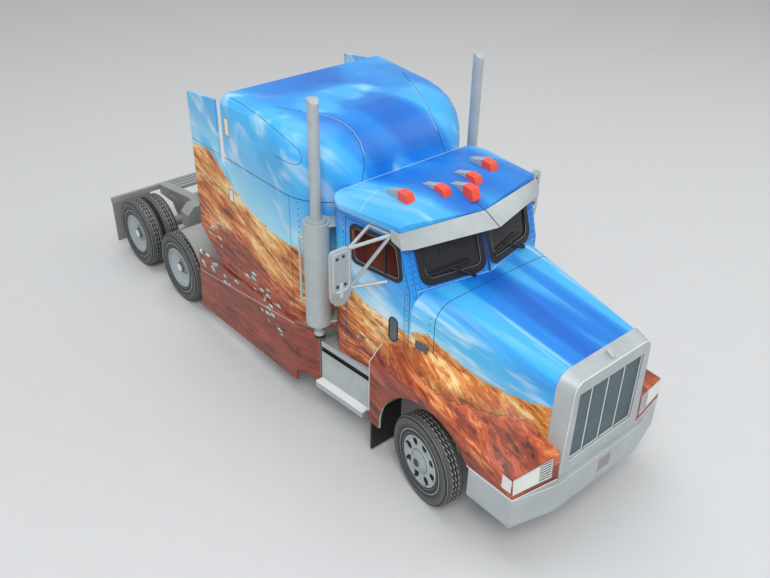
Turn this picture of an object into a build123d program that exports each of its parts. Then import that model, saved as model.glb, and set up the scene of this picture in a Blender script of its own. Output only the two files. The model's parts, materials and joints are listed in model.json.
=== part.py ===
from build123d import *
import math
import os

os.makedirs("parts", exist_ok=True)

# A card scale model, about 1:25, of a three-axle tractor unit with a tall sleeper.
# X is the truck's left, the front faces -Y, Z is up from the ground.
# Lengths along Y below are measured from the front axle; save() centres the model.

# Wheels
TYRE_R = 21.0
TYRE_W = 9.0
TYRE_SHOULDER = 1.6
RIM_R = 12.0
RIM_WALL = 0.9
RIM_FIT = 0.05
TWIN_GAP = 1.6
HUB_R = 3.3
CONE_R = 6.4
CONE_TIP_R = 3.8
HUB_PROUD = 1.5
FRONT_DISC = 1.0
REAR_DISC = 4.6
SPINDLE_R = 1.6
SPINDLE_FIT = 0.06
SLEEVE_R = 4.1
HAND_HOLES = 8
HAND_HOLE_R = 1.3
HAND_HOLE_RING = 9.3

# Axles along the truck
MIDDLE_AXLE_Y = 208.9
AXLE_SPACING = 52.7
REAR_AXLE_Y = MIDDLE_AXLE_Y + AXLE_SPACING
FRONT_FACE_X = 49.8
REAR_FACE_X = 50.8
KINGPIN_X = 36.6
KINGPIN_R = 1.3
REST_STEER = -8.6

# Frame
RAIL_OUT = 20.0
RAIL_W = 6.0
RAIL_Z0 = 30.0
RAIL_Z1 = 42.0
RAIL_REAR_Y = 286.0
RAMP_LENGTH = 38.0
RAMP_DROP = 5.5
CARD = 1.2

# Cab: its sides taper to the front corners, and the windscreen is a shallow V
CAB_HALF = 45.5
CAB_FRONT_HALF = CAB_HALF - 7.2
CAB_REAR_Y = 71.0
CAB_FRONT_Y = 22.4
SCREEN_NOSE_Y = 14.8
SCREEN_LEAN = 0.33
CAB_CORNER_R = 9.0
CAB_Z0 = RAIL_Z1
BELT_Z = 92.0
EAVES_Z = 117.0
ROOF_RISE = 7.0
ROOF_REAR_RISE = 3.0
SIDE_TAPER = (CAB_HALF - CAB_FRONT_HALF) / (CAB_REAR_Y - CAB_FRONT_Y)
SCREEN_SWEEP = (CAB_FRONT_Y - SCREEN_NOSE_Y) / CAB_FRONT_HALF

# Sleeper
SLEEPER_HALF = 49.4
SLEEPER_REAR_Y = 145.0
SLEEPER_CORNER_R = 25.0
SLEEPER_BROW_R = 23.0
SLEEPER_FRONT_SHOULDER = 14.0
SLEEPER_REAR_SHOULDER = 5.0
SLEEPER_Z0 = 46.3
SLEEPER_SEAM_Z = 113.0
SLEEPER_TOP = 144.0

# Front end
HOOD_REAR_Y = 10.5
HOOD_FRONT_Y = -45.0
HOOD_REAR_HALF = CAB_FRONT_HALF - 2.3
HOOD_FRONT_HALF = HOOD_REAR_HALF - 10.0
HOOD_REAR_TOP = 91.0
HOOD_FRONT_TOP = 85.4
HOOD_REAR_R = 9.0
HOOD_FRONT_R = 7.0
HOOD_CROWN = 1.0
HOOD_Z0 = 50.0
FENDER_HALF = 48.0
FENDER_REAR_Y = 37.7
FENDER_FRONT_Y = -47.6
FENDER_INNER_X = 25.5
FENDER_NOSE = 3.6
ARCH_R = 29.6
ARCH_Y = 1.0
BUMPER_Z0 = 22.0
BUMPER_Z1 = 37.0
BUMPER_NOSE_Y = -54.0
BUMPER_CORNER_Y = -48.4
BUMPER_KINK_X = 27.0
GRILLE_Z0 = BUMPER_Z1
GRILLE_TOP = 83.6
GRILLE_FACE_Y = -52.5


def face_on(plane, points):
    return plane * make_face(Polyline(*points, close=True))


def prism(plane, points, low, high):
    """A straight prism on a plane, from low to high along its normal."""
    return extrude(face_on(plane.offset(low), points), amount=high - low)


def block(x0, x1, y0, y1, z0, z1):
    return Pos((x0 + x1) / 2, (y0 + y1) / 2, (z0 + z1) / 2) * Box(x1 - x0, y1 - y0, z1 - z0)


def rod(start, end, radius):
    """A round bar between two points."""
    a = Vector(*start)
    b = Vector(*end)
    return extrude(Plane(a, z_dir=b - a) * Circle(radius), amount=(b - a).length)


def pair(shape):
    """The right-hand piece and its mirror image on the left."""
    return [shape, mirror(shape, about=Plane.YZ)]


def turned(profile, x, y, z):
    """A profile of (across, radius) points revolved about an axle line at (x, y, z)."""
    return Pos(x, y, z) * revolve(face_on(Plane.XY, profile), axis=Axis.X)


def cross_section(y):
    """An upright plane across the truck, its second axis up."""
    return Plane((0, y, 0), x_dir=(1, 0, 0), z_dir=(0, -1, 0))


CENTRE_Y = (RAIL_REAR_Y + 2.0 + BUMPER_NOSE_Y) / 2


def save(node, *solids):
    flat = []
    for solid in solids:
        flat.extend(solid if isinstance(solid, list) else [solid])
    placed = [Pos(0, -CENTRE_Y, 0) * s for s in flat]
    shape = placed[0] if len(placed) == 1 else Compound(children=placed)
    export_step(shape, f"parts/{node}.step")


# Tyres and rims, drawn for the right-hand side, outer face at across = 0
def tyre_profile():
    s = TYRE_SHOULDER
    bead = RIM_R + RIM_FIT
    return [(0.6, bead), (0, bead + 1.5), (0, TYRE_R - s), (s * 0.7, TYRE_R), (TYRE_W - s * 0.7, TYRE_R),
            (TYRE_W, TYRE_R - s), (TYRE_W, bead + 1.5), (TYRE_W - 0.6, bead)]


BORE_R = SPINDLE_R + SPINDLE_FIT
DISH_R = RIM_R - RIM_WALL


def front_rim():
    """A flat disc with round holes and a blunt cone whose end is bored."""
    outline = [(0.3, RIM_R), (TYRE_W - 0.3, RIM_R), (TYRE_W - 0.3, DISH_R), (FRONT_DISC + CARD, DISH_R),
               (FRONT_DISC + CARD, SLEEVE_R), (TYRE_W - 1.0, SLEEVE_R), (TYRE_W - 1.0, BORE_R), (0.6, BORE_R),
               (0.6, 0), (0.3 - CARD / 2, 0), (0.3 - CARD / 2, 2.2), (-HUB_PROUD, 2.2), (-HUB_PROUD,
                                                                                         CONE_TIP_R),
               (FRONT_DISC, CONE_R), (FRONT_DISC, DISH_R), (0.3, DISH_R)]
    rim = turned(outline, 0, 0, 0)
    for i in range(HAND_HOLES):
        a = 2 * math.pi * (i + 0.33) / HAND_HOLES
        y = HAND_HOLE_RING * math.cos(a)
        z = HAND_HOLE_RING * math.sin(a)
        rim -= rod((FRONT_DISC - 1, y, z), (FRONT_DISC + 3, y, z), HAND_HOLE_R)
    return rim


def twin_rims():
    """A deep dish outside, a plain ring inside, and the band between them."""
    d = REAR_DISC
    dish = [(0.3, RIM_R), (TYRE_W - 0.3, RIM_R), (TYRE_W - 0.3, DISH_R), (1.4 + CARD, DISH_R), (d + CARD,
                                                                                                6.2),
            (d + CARD, SLEEVE_R), (TYRE_W - 1.0, SLEEVE_R), (TYRE_W - 1.0, BORE_R), (d - CARD, BORE_R),
            (d - CARD, 0),
            (0.8, 0), (0.8, 2.4), (1.3, HUB_R - 0.3), (d - CARD, HUB_R), (d - CARD, HUB_R + 1.3), (d,
                                                                                                   HUB_R + 1.3),
            (d, 6.2), (1.4, DISH_R), (0.3, DISH_R)]
    inner_x = TYRE_W + TWIN_GAP
    ring = [(inner_x + 0.3, RIM_R), (inner_x + TYRE_W - 0.3, RIM_R), (inner_x + TYRE_W - 0.3, DISH_R),
            (inner_x + 0.3 + CARD, DISH_R), (inner_x + 0.3 + CARD, 0.4 + SPINDLE_R), (inner_x + 0.3,
                                                                                      0.4 + SPINDLE_R)]
    band = [(TYRE_W - 0.3, RIM_R), (inner_x + 0.3, RIM_R), (inner_x + 0.3, DISH_R), (TYRE_W - 0.3, DISH_R)]
    return turned(dish, 0, 0, 0) + turned(band, 0, 0, 0) + turned(ring, 0, 0, 0)


def on_right(shape, face_x, y):
    return Pos(-face_x, y, TYRE_R) * shape


tyre = turned(tyre_profile(), 0, 0, 0)
twin_tyres = [tyre, Pos(TYRE_W + TWIN_GAP, 0, 0) * tyre]

# Front axle: each wheel turns on a knuckle's spindle, and each knuckle on its kingpin
steered = {"right": -KINGPIN_X, "left": KINGPIN_X}
knuckle_block = block(-3.0, 3.0, -2.6, 2.6, 17.4, 24.6)
knuckle_block -= rod((0, 0, 10), (0, 0, 30), KINGPIN_R + SPINDLE_FIT)
spindle_right = rod((-2.9, 0, TYRE_R), (-(FRONT_FACE_X - KINGPIN_X) + 0.8, 0, TYRE_R), SPINDLE_R)
knuckle_right = knuckle_block + spindle_right
wheel_right = Pos(KINGPIN_X, 0, 0) * on_right(tyre, FRONT_FACE_X, 0)
rim_right = Pos(KINGPIN_X, 0, 0) * on_right(front_rim(), FRONT_FACE_X, 0)
for name, x in steered.items():
    turn = Pos(x, 0, 0) * Rot(0, 0, REST_STEER)
    for node, shape in (("knuckle", knuckle_right), ("front_tyre", wheel_right), ("front_rim", rim_right)):
        if name == "left":
            shape = mirror(shape, about=Plane.YZ)
        save(f"{node}_{name}", turn * shape)

beam = block(-KINGPIN_X + 7, KINGPIN_X - 7, -2.2, 2.2, 17.5, 22.5)
for side in (-1, 1):
    for low, high in ((14.2, 17.1), (24.9, 27.8)):
        ear = block(min(side * 29, side * 39.4), max(side * 29, side * 39.4), -2.4, 2.4, low, high)
        beam += ear
    web = block(min(side * 29, side * 31.5), max(side * 29, side * 31.5), -2.4, 2.4, 14.2, 27.8)
    beam += web
    beam += rod((side * KINGPIN_X, 0, 14.2), (side * KINGPIN_X, 0, 27.8), KINGPIN_R)
save("front_axle_beam", beam)

# Two driven axles with twin wheels
for row, axle_y in (("middle", MIDDLE_AXLE_Y), ("rear", REAR_AXLE_Y)):
    for name in ("right", "left"):
        tyres = [on_right(t, REAR_FACE_X, axle_y) for t in twin_tyres]
        rims = on_right(twin_rims(), REAR_FACE_X, axle_y)
        if name == "left":
            tyres = [mirror(t, about=Plane.YZ) for t in tyres]
            rims = mirror(rims, about=Plane.YZ)
        save(f"{row}_tyres_{name}", tyres)
        save(f"{row}_rims_{name}", rims)

axles = []
tube_x = REAR_FACE_X - 2 * TYRE_W - TWIN_GAP - 2.0
stub_x = REAR_FACE_X - REAR_DISC + CARD - 0.2
AXLE_R = 3.2
axle_profile = [(-stub_x, 0), (-stub_x, SPINDLE_R), (-tube_x, SPINDLE_R), (-tube_x, AXLE_R), (-7.5, AXLE_R),
                (-4.0, 7.5), (4.0, 7.5), (7.5, AXLE_R), (tube_x, AXLE_R), (tube_x, SPINDLE_R), (stub_x,
                                                                                                SPINDLE_R),
                (stub_x, 0)]
for axle_y in (MIDDLE_AXLE_Y, REAR_AXLE_Y):
    axles.append(turned(axle_profile, 0, axle_y, TYRE_R))
save("drive_axles", axles)

# Frame: two rails with a ramped tail, tied by cross members
FIFTH_Y = 233.0
HORN_Z1 = BUMPER_Z1 - CARD - 0.3
rail_side = [(BUMPER_NOSE_Y + CARD, RAIL_Z0), (BUMPER_NOSE_Y + CARD, HORN_Z1), (HOOD_FRONT_Y + 2, HORN_Z1),
             (HOOD_FRONT_Y + 12, RAIL_Z1), (RAIL_REAR_Y - RAMP_LENGTH, RAIL_Z1),
             (RAIL_REAR_Y, RAIL_Z1 - RAMP_DROP), (RAIL_REAR_Y, RAIL_Z0)]
rail = prism(Plane.YZ, rail_side, -RAIL_OUT, -RAIL_OUT + RAIL_W)
rail -= block(-RAIL_OUT + CARD, -RAIL_OUT + RAIL_W + 1, HOOD_FRONT_Y, RAIL_REAR_Y - 4, RAIL_Z0 + CARD,
              HORN_Z1 - CARD)
frame = rail + mirror(rail, about=Plane.YZ)
MEMBERS = [-36.0, 45.0, 120.0, 182.0, FIFTH_Y + 2.0, 261.0, RAIL_REAR_Y - 3.0]
for member_y in MEMBERS:
    frame += block(-RAIL_OUT + CARD / 2, RAIL_OUT - CARD / 2, member_y, member_y + 3.0, RAIL_Z0 + 2.0,
                   HORN_Z1 - CARD / 2)


def ramp_z(y):
    return RAIL_Z1 - RAMP_DROP * max(0, y - (RAIL_REAR_Y - RAMP_LENGTH)) / RAMP_LENGTH


# A ribbed deck plate fills the tail between the rails
DECK_Y = 270.0
deck = [(DECK_Y, ramp_z(DECK_Y) - 0.8), (RAIL_REAR_Y, ramp_z(RAIL_REAR_Y) - 0.8), (RAIL_REAR_Y,
                                                                                   ramp_z(RAIL_REAR_Y) - 2.0),
        (DECK_Y, ramp_z(DECK_Y) - 2.0)]
deck_half = RAIL_OUT - RAIL_W + 0.5
frame += prism(Plane.YZ, deck, -deck_half, deck_half)
for rib_y in (DECK_Y, DECK_Y + 5.5, DECK_Y + 11.0):
    rib = [(rib_y, ramp_z(rib_y) - 1.4), (rib_y, ramp_z(rib_y)), (rib_y + 1.8, ramp_z(rib_y + 1.8)),
           (rib_y + 1.8, ramp_z(rib_y + 1.8) - 1.4)]
    frame += prism(Plane.YZ, rib, -deck_half, deck_half)
# An oval hollow in each rail's outer face beside the rear axle
for side in (-1, 1):
    for y in (REAR_AXLE_Y + 4.6, REAR_AXLE_Y + 8.2):
        frame -= rod((side * (RAIL_OUT + 1), y, 35.6), (side * (RAIL_OUT - 0.7), y, 35.6), 1.9)
save("frame_rails", frame)

# Springs and hangers carry the axles below the rails
hangers = []
for y, low in ((0.0, 22.5), (MIDDLE_AXLE_Y, TYRE_R + 1.0), (REAR_AXLE_Y, TYRE_R + 1.0)):
    seat = prism(Plane.YZ, [(y - 10, RAIL_Z0), (y - 4, low), (y + 4, low), (y + 10, RAIL_Z0)],
                 -RAIL_OUT + 0.5, -RAIL_OUT + RAIL_W)
    if y:
        seat -= rod((-RAIL_OUT - 1, y, TYRE_R), (-RAIL_OUT + RAIL_W + 1, y, TYRE_R), AXLE_R)
    hangers.extend(pair(seat))
# A tall box with a sloped top stands outside each rail between the driven axles
outer_x = RAIL_OUT + 9.5
tower = prism(cross_section(FIFTH_Y + 7.0), [(-RAIL_OUT - 0.05, 27.0), (-outer_x + 2.0, 27.0), (-outer_x,
                                                                                                30.0),
                                             (-outer_x, RAIL_Z1 - 3.0), (-outer_x + 4.5, RAIL_Z1 + 1.5),
                                             (-RAIL_OUT - 0.05, RAIL_Z1 + 1.5)], 0, 9.0)
hangers.extend(pair(tower))
save("suspension_hangers", hangers)

# Fifth wheel with its throat towards the rear
FIFTH_Z = 47.0
PLATE_T = 2.0
KING_R = 1.1
plate = extrude(Plane((0, FIFTH_Y, FIFTH_Z - PLATE_T)) * Circle(17.0), amount=PLATE_T)
plate &= block(-17, 17, FIFTH_Y - 15.0, FIFTH_Y + 15.0, 0, 100)
plate -= rod((0, FIFTH_Y, 40), (0, FIFTH_Y, 60), KING_R)
plate -= prism(Plane.XY, [(-0.7, FIFTH_Y), (0.7, FIFTH_Y), (6.0, FIFTH_Y + 20), (-6.0, FIFTH_Y + 20)], 40, 60)
for side in (-1, 1):
    foot = block(side * 14.0 - 2.5, side * 14.0 + 2.5, FIFTH_Y - 6, FIFTH_Y + 6, RAIL_Z1, FIFTH_Z - PLATE_T)
    plate += foot
save("fifth_wheel", plate)

# Rear cross bar and its mud flaps
FLAP_HALF = 53.0
FLAP_INNER = 27.0
BAR_Z0 = 33.0
BAR_Z1 = 36.5
FLAP_Z0 = 6.0
save("rear_flap_bar", block(-FLAP_HALF, FLAP_HALF, RAIL_REAR_Y, RAIL_REAR_Y + 2.0, BAR_Z0, BAR_Z1))
save("rear_mud_flaps", pair(block(-FLAP_HALF, -FLAP_INNER, RAIL_REAR_Y, RAIL_REAR_Y + 1.0, FLAP_Z0, BAR_Z0)))

# Quarter guards ahead of the middle wheels
GUARD_R = TYRE_R + 4.2
guard_ring = extrude(Plane((0, MIDDLE_AXLE_Y, TYRE_R), x_dir=(0, 1, 0), z_dir=(1, 0, 0))
                     * (Circle(GUARD_R + CARD) - Circle(GUARD_R)), amount=18.0)
keep = prism(Plane.YZ, [(MIDDLE_AXLE_Y - 4, TYRE_R), (MIDDLE_AXLE_Y - 4, TYRE_R + 40),
                        (MIDDLE_AXLE_Y - 50, TYRE_R + 40), (MIDDLE_AXLE_Y - 50, TYRE_R)], -60, 60)
guard = (Pos(-48.0, 0, 0) * guard_ring) & keep
stay_y = MIDDLE_AXLE_Y - 14.0
stay_z = TYRE_R + math.sqrt(GUARD_R ** 2 - 14.0 ** 2) - 0.9
guard += rod((-40.0, stay_y, stay_z), (-RAIL_OUT, stay_y, stay_z), 1.1)
save("drive_mudguards", pair(guard))

# Cab shell: hollow, windows cut
def side_x(y, inset=0.0):
    """Half the cab's width at a place along the truck."""
    return CAB_HALF - SIDE_TAPER * (CAB_REAR_Y - y) - inset


def cab_plan(z, inset, back):
    """The cab's outline at a height; back is how far its front has leaned."""
    corner_y = CAB_FRONT_Y + inset + back
    nose_y = SCREEN_NOSE_Y + inset + back
    rear = CAB_REAR_Y - inset
    corner_x = side_x(corner_y, inset)
    rear_x = side_x(rear, inset)
    plan = make_face(Polyline((-corner_x, corner_y), (0, nose_y), (corner_x, corner_y), (rear_x, rear),
                              (-rear_x, rear),
                              close=True))
    plan = fillet(plan.vertices().group_by(Axis.Y)[-1], CAB_CORNER_R - inset)
    return Pos(0, 0, z) * plan


def cab_form(inset, top=EAVES_Z, bottom=CAB_Z0):
    if top <= BELT_Z:
        return extrude(cab_plan(bottom, inset, 0), amount=top - bottom)
    lower = extrude(cab_plan(bottom, inset, 0), amount=BELT_Z - bottom)
    upper = loft([cab_plan(BELT_Z, inset, 0), cab_plan(top, inset, SCREEN_LEAN * (top - BELT_Z))], ruled=True)
    return lower + upper


# Window openings: outlines as (along, height) and (across, height)
WINDOW = [(28.0, BELT_Z + 3.5), (30.8, EAVES_Z - 5.0), (55.2, EAVES_Z - 5.0), (54.2, BELT_Z + 3.5)]
WINDOW_R = 2.4
SCREEN = [(3.4, BELT_Z + 3.6), (30.8, BELT_Z + 3.6), (31.8, EAVES_Z - 1.5), (3.4, EAVES_Z - 1.5)]
SCREEN_R = 2.6
SIDE_BAND = 1.3
SCREEN_BAND = 2.3


def grown(points, by):
    """An outline moved outwards from its middle by a set amount along each axis."""
    mid_a = sum(p[0] for p in points) / len(points)
    mid_b = sum(p[1] for p in points) / len(points)
    return [(a + by * math.copysign(1, a - mid_a), b + by * math.copysign(1, b - mid_b)) for a, b in points]


def side_window(by):
    face = face_on(Plane.YZ.offset(-CAB_HALF - 2), grown(WINDOW, by))
    return extrude(fillet(face.vertices(), WINDOW_R + by), amount=20)


def half_screen(by):
    pane = [(-a, b) for a, b in grown(SCREEN, by)]
    face = face_on(cross_section(CAB_FRONT_Y + 20), pane)
    return extrude(fillet(face.vertices(), SCREEN_R + by), amount=40)


cab = cab_form(0) - cab_form(CARD, top=EAVES_Z + 1, bottom=CAB_Z0 - 1)
for opening in (side_window(0), half_screen(0)):
    for cut in pair(opening):
        cab -= cut
save("cab_shell", cab)

# Thin frames stand proud round the windows, and panes sit in the wall
FRAME_PROUD = 0.4
frame_skin = cab_form(-FRAME_PROUD) - cab_form(0)
side_frame = frame_skin & (side_window(SIDE_BAND) - side_window(-0.7))
screen_frame = frame_skin & (half_screen(SCREEN_BAND) - half_screen(-0.7))
save("window_frames", pair(side_frame), pair(screen_frame))
pane_skin = cab_form(0.4) - cab_form(0.8)
save("window_panes", pair(pane_skin & side_window(-0.1)), pair(pane_skin & half_screen(-0.1)))

# Cab roof: crowned, its front edge a V above the windscreen
def roof_form(inset):
    rear = CAB_REAR_Y - inset
    back = SCREEN_LEAN * (EAVES_Z - BELT_Z) - 1.8 + inset
    corner_y = CAB_FRONT_Y + back
    nose_y = SCREEN_NOSE_Y + back
    corner_x = side_x(corner_y, inset) + 0.6
    rear_x = side_x(rear, inset) + 0.6
    plan = make_face(Polyline((-corner_x, corner_y), (0, nose_y), (corner_x, corner_y), (rear_x, rear),
                              (-rear_x, rear),
                              close=True))
    plan = fillet(plan.vertices().group_by(Axis.Y)[-1], CAB_CORNER_R - inset)
    slab = extrude(Pos(0, 0, EAVES_Z) * plan, amount=ROOF_RISE + 3)
    crown_z = EAVES_Z + ROOF_RISE - inset
    side = make_face(Polyline((nose_y - 1, EAVES_Z - 1), (nose_y - 1, EAVES_Z + 1.4 - inset), (37, crown_z),
                              (48, crown_z), (rear + 1, EAVES_Z + ROOF_REAR_RISE - inset), (rear + 1,
                                                                                            EAVES_Z - 1),
                              close=True))
    slab &= extrude(Plane.YZ * side, amount=60, both=True)
    far = CAB_HALF + 12
    arc = ThreePointArc((-far, EAVES_Z - 1.2 - inset), (0, crown_z + 0.3), (far, EAVES_Z - 1.2 - inset))
    arch_face = make_face([arc, Polyline((far, EAVES_Z - 1.2 - inset), (far, EAVES_Z - 9), (-far,
                                                                                            EAVES_Z - 9),
                                         (-far, EAVES_Z - 1.2 - inset))])
    return slab & extrude(cross_section(100) * arch_face, amount=120)


roof = roof_form(0)
roof_room = Pos(0, 0, -CARD) * roof_form(CARD)
save("cab_roof", roof - roof_room)

# Sun visor: two leaves in a shallow V, their ends folded back to the cab
VISOR = [  # across, top along, top height, foot along, foot height
    (0.0, 20.6, 118.9, 11.9, 114.4), (-36.0, 27.4, 118.5, 24.0, 111.5), (-41.2, 28.6, 118.3, 25.8, 112.0)]
VISOR_T = 0.7
VISOR_END = [(28.6, 118.3), (25.8, 112.0), (32.4, 113.6), (33.4, 118.2)]


def visor_section(x, top_y, top_z, foot_y, foot_z):
    points = [(top_y, top_z), (foot_y, foot_z), (foot_y + VISOR_T, foot_z - 0.3), (top_y + VISOR_T,
                                                                                   top_z - VISOR_T)]
    return face_on(Plane((x, 0, 0), x_dir=(0, 1, 0), z_dir=(1, 0, 0)), points)


visor_side = loft([visor_section(*VISOR[0]), visor_section(*VISOR[1])], ruled=True)
visor_side += loft([visor_section(*VISOR[1]), visor_section(*VISOR[2])], ruled=True)
visor_side += prism(Plane.YZ, VISOR_END, VISOR[2][0], VISOR[2][0] + VISOR_T)
visor_side = visor_side - roof - cab_form(-FRAME_PROUD - 0.05)
save("sun_visor", visor_side + mirror(visor_side, about=Plane.YZ))

# Five marker lamps along the front of the roof
LAMPS = [(0.0, 30.0), (-9.3, 37.5), (9.3, 37.5), (-24.8, 43.0), (24.8, 43.0)]
lenses = []
bases = []
LAMP_Z = EAVES_Z + ROOF_RISE - 1.1
for x, y in LAMPS:
    lenses.append(prism(Plane.YZ, [(y - 4, LAMP_Z - 2), (y - 4, LAMP_Z), (y - 2.6, LAMP_Z + 3.2), (y + 2.2,
                                                                                                   LAMP_Z + 3.6),
                                   (y + 2.2, LAMP_Z - 2)], x - 2.2, x + 2.2))
    bases.append(prism(Plane.YZ, [(y + 2.3, LAMP_Z - 2), (y + 2.3, LAMP_Z + 3.4), (y + 10, LAMP_Z + 1.3),
                                  (y + 10, LAMP_Z - 2)], x - 1.9, x + 1.9))
save("marker_lamps", [lens - roof for lens in lenses])
save("marker_lamp_bases", [base - roof for base in bases])

# Cab floor, dashboard with steering wheel, seats
FLOOR_TOP = CAB_Z0 + 1.5
save("cab_floor", cab_form(CARD + 0.05, top=FLOOR_TOP))
DASH_Y = 33.0
dash = prism(Plane.YZ, [(10, 70), (10, 88), (24, 90.5), (DASH_Y, 88), (DASH_Y, 77), (28, 70)], -60, 60)
dash &= cab_form(CARD + 0.05)
column = rod((19, DASH_Y - 3, 82), (19, DASH_Y + 6, 88), 1.0)
rim_plane = Plane((19, DASH_Y + 6, 88), x_dir=(1, 0, 0), z_dir=(0, 9, 6))
wheel_ring = extrude(rim_plane * (Circle(7.5) - Circle(6.6)), amount=1.2)
spoke = extrude(rim_plane * Rectangle(14, 1.6), amount=0.9)
dash = dash + column + wheel_ring + spoke
save("dashboard", dash)
seat = prism(Plane.YZ, [(45, 62), (44, 71), (45.5, 72), (57, 70.5), (59.5, 98), (61, 100), (63.5, 100),
                        (64.5, 98),
                        (63, 62)], -28, -12)
post = block(-24, -16, 48, 60, FLOOR_TOP, 62)
save("seats", pair(seat + post))

# Hood: a lofted shell with a crowned top, narrow at the grille
def hood_at(y, inset):
    """Half width, top height and corner radius of the hood at a place along the truck."""
    t = (y - HOOD_FRONT_Y) / (HOOD_REAR_Y - HOOD_FRONT_Y)
    half = HOOD_FRONT_HALF + t * (HOOD_REAR_HALF - HOOD_FRONT_HALF) - inset
    top = HOOD_FRONT_TOP + t * (HOOD_REAR_TOP - HOOD_FRONT_TOP) - inset
    return half, top, HOOD_FRONT_R + t * (HOOD_REAR_R - HOOD_FRONT_R) - inset


def hood_section(y, inset, low):
    half, top, radius = hood_at(y, inset)
    crest = ThreePointArc((half, top - HOOD_CROWN), (0, top), (-half, top - HOOD_CROWN))
    face = make_face([crest, Polyline((-half, top - HOOD_CROWN), (-half, low), (half, low), (half,
                                                                                             top - HOOD_CROWN))])
    return cross_section(y) * fillet(face.vertices().group_by(Axis.Y)[-1], radius)


def hood_form(rear, front, inset, low):
    return loft([hood_section(rear, inset, low), hood_section(front, inset, low)], ruled=True)


COWL_Y = CAB_FRONT_Y + 2.0
hood = hood_form(COWL_Y, HOOD_FRONT_Y, 0, HOOD_Z0)
hood -= hood_form(COWL_Y + 1, HOOD_FRONT_Y - 1, CARD, HOOD_Z0 - 5)
hood -= cab_form(0)
save("hood", hood)

# Bumper, with its ends turned back
def bumper_plan(inset, rear):
    k = inset
    return [(-FENDER_HALF + k, rear), (-FENDER_HALF + k, BUMPER_CORNER_Y + k), (-BUMPER_KINK_X,
                                                                                BUMPER_NOSE_Y + k),
            (BUMPER_KINK_X, BUMPER_NOSE_Y + k), (FENDER_HALF - k, BUMPER_CORNER_Y + k), (FENDER_HALF - k,
                                                                                         rear)]


bumper = prism(Plane.XY, bumper_plan(0, -25.0), BUMPER_Z0, BUMPER_Z1)
bumper -= prism(Plane.XY, bumper_plan(CARD, -24.0), BUMPER_Z0 - 1, BUMPER_Z1 - CARD)
bumper -= prism(Plane.XY, bumper_plan(5.0, -24.0), BUMPER_Z0 - 1, BUMPER_Z1 + 1)
save("bumper", bumper)

# Grille surround: a leaning shell with four dark panels between double bars
def surround_face(y, half0, half1, z1, radius):
    face = make_face(Polyline((-half0, GRILLE_Z0), (half0, GRILLE_Z0), (half1, z1), (-half1, z1), close=True))
    return cross_section(y) * fillet(face.vertices().group_by(Axis.Y)[-1], radius)


OPEN_HALF = 20.6
OPEN_Z0 = GRILLE_Z0 + 6.6
OPEN_Z1 = GRILLE_TOP - 5.8
PANEL_Y = GRILLE_FACE_Y + 1.6
BAR_HALF = 1.25
surround = loft([surround_face(HOOD_FRONT_Y, HOOD_FRONT_HALF + 0.6, HOOD_FRONT_HALF + 0.1,
                               HOOD_FRONT_TOP + 0.3,
                               HOOD_FRONT_R),
                 surround_face(GRILLE_FACE_Y, HOOD_FRONT_HALF - 0.9, HOOD_FRONT_HALF - 2.6, GRILLE_TOP, 4.6)],
                ruled=True)
surround_outer = surround
surround = surround - block(-OPEN_HALF, OPEN_HALF, GRILLE_FACE_Y - 5, HOOD_FRONT_Y + 5, OPEN_Z0, OPEN_Z1)
surround -= block(-OPEN_HALF, OPEN_HALF, PANEL_Y + 1.2, HOOD_FRONT_Y + 5, GRILLE_Z0 + CARD, OPEN_Z1 + 3.0)
# A plain wedge stands on the middle of the surround's top
crest_z = (HOOD_FRONT_TOP + GRILLE_TOP) / 2
crest = prism(Plane.YZ, [(-51.6, crest_z - 2), (-51.0, crest_z + 0.6), (-47.6, crest_z + 2.4), (-46.6,
                                                                                                crest_z - 1)],
              -0.9, 0.9)
save("grille_surround", surround + crest)
pitch = 2 * OPEN_HALF / 4
panels = []
bars = []
for i in range(4):
    x0 = -OPEN_HALF + i * pitch
    low_x = x0 + (0.05 if i == 0 else BAR_HALF + 0.05)
    high_x = x0 + pitch - (0.05 if i == 3 else BAR_HALF + 0.05)
    panels.append(block(low_x, high_x, PANEL_Y, PANEL_Y + 1.1, OPEN_Z0 + 0.05, OPEN_Z1 - 0.05))
for i in range(1, 4):
    x = -OPEN_HALF + i * pitch
    bar = block(x - BAR_HALF, x + BAR_HALF, PANEL_Y - 1.1, PANEL_Y + 1.1, OPEN_Z0 + 0.05, OPEN_Z1 - 0.05)
    bars.append(bar - block(x - 0.45, x + 0.45, PANEL_Y - 2.0, PANEL_Y - 0.4, OPEN_Z0 - 1, OPEN_Z1 + 1))
save("grille_panels", panels)
save("grille_bars", bars)

# Fenders: hollow wings beside the hood, open over the wheels
FENDER_Z0 = 19.0
WING = [  # along, height at the outer face, height at the hood
    (FENDER_REAR_Y, 53.0, 74.0), (15.0, 56.0, 80.0), (-2.0, 55.5, 71.8), (-24.0, 49.5, 65.0),
        (FENDER_FRONT_Y, 47.8, 50.4)]
LIP_Z = BUMPER_Z1 + 2.6
LENS_OUTER_H = 7.6
LENS_INNER_H = 9.5


def wing_face(x, column, ahead, drop, back, low):
    """One side of a fender; drop lowers its top, back draws in its ends."""
    points = []
    for row in WING:
        y = row[0]
        if row is WING[0]:
            y -= back
        if row is WING[-1]:
            y += back - ahead
        points.append((y, row[column] - drop))
    front = points[-1][0]
    if low is None:
        points += [(front - 0.8, BUMPER_Z1), (-20.0, BUMPER_Z1), (-10.0, FENDER_Z0), (points[0][0],
                                                                                      FENDER_Z0)]
    else:
        points += [(front, low), (points[0][0], low)]
    return face_on(Plane((x, 0, 0), x_dir=(0, 1, 0), z_dir=(1, 0, 0)), points)


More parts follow.
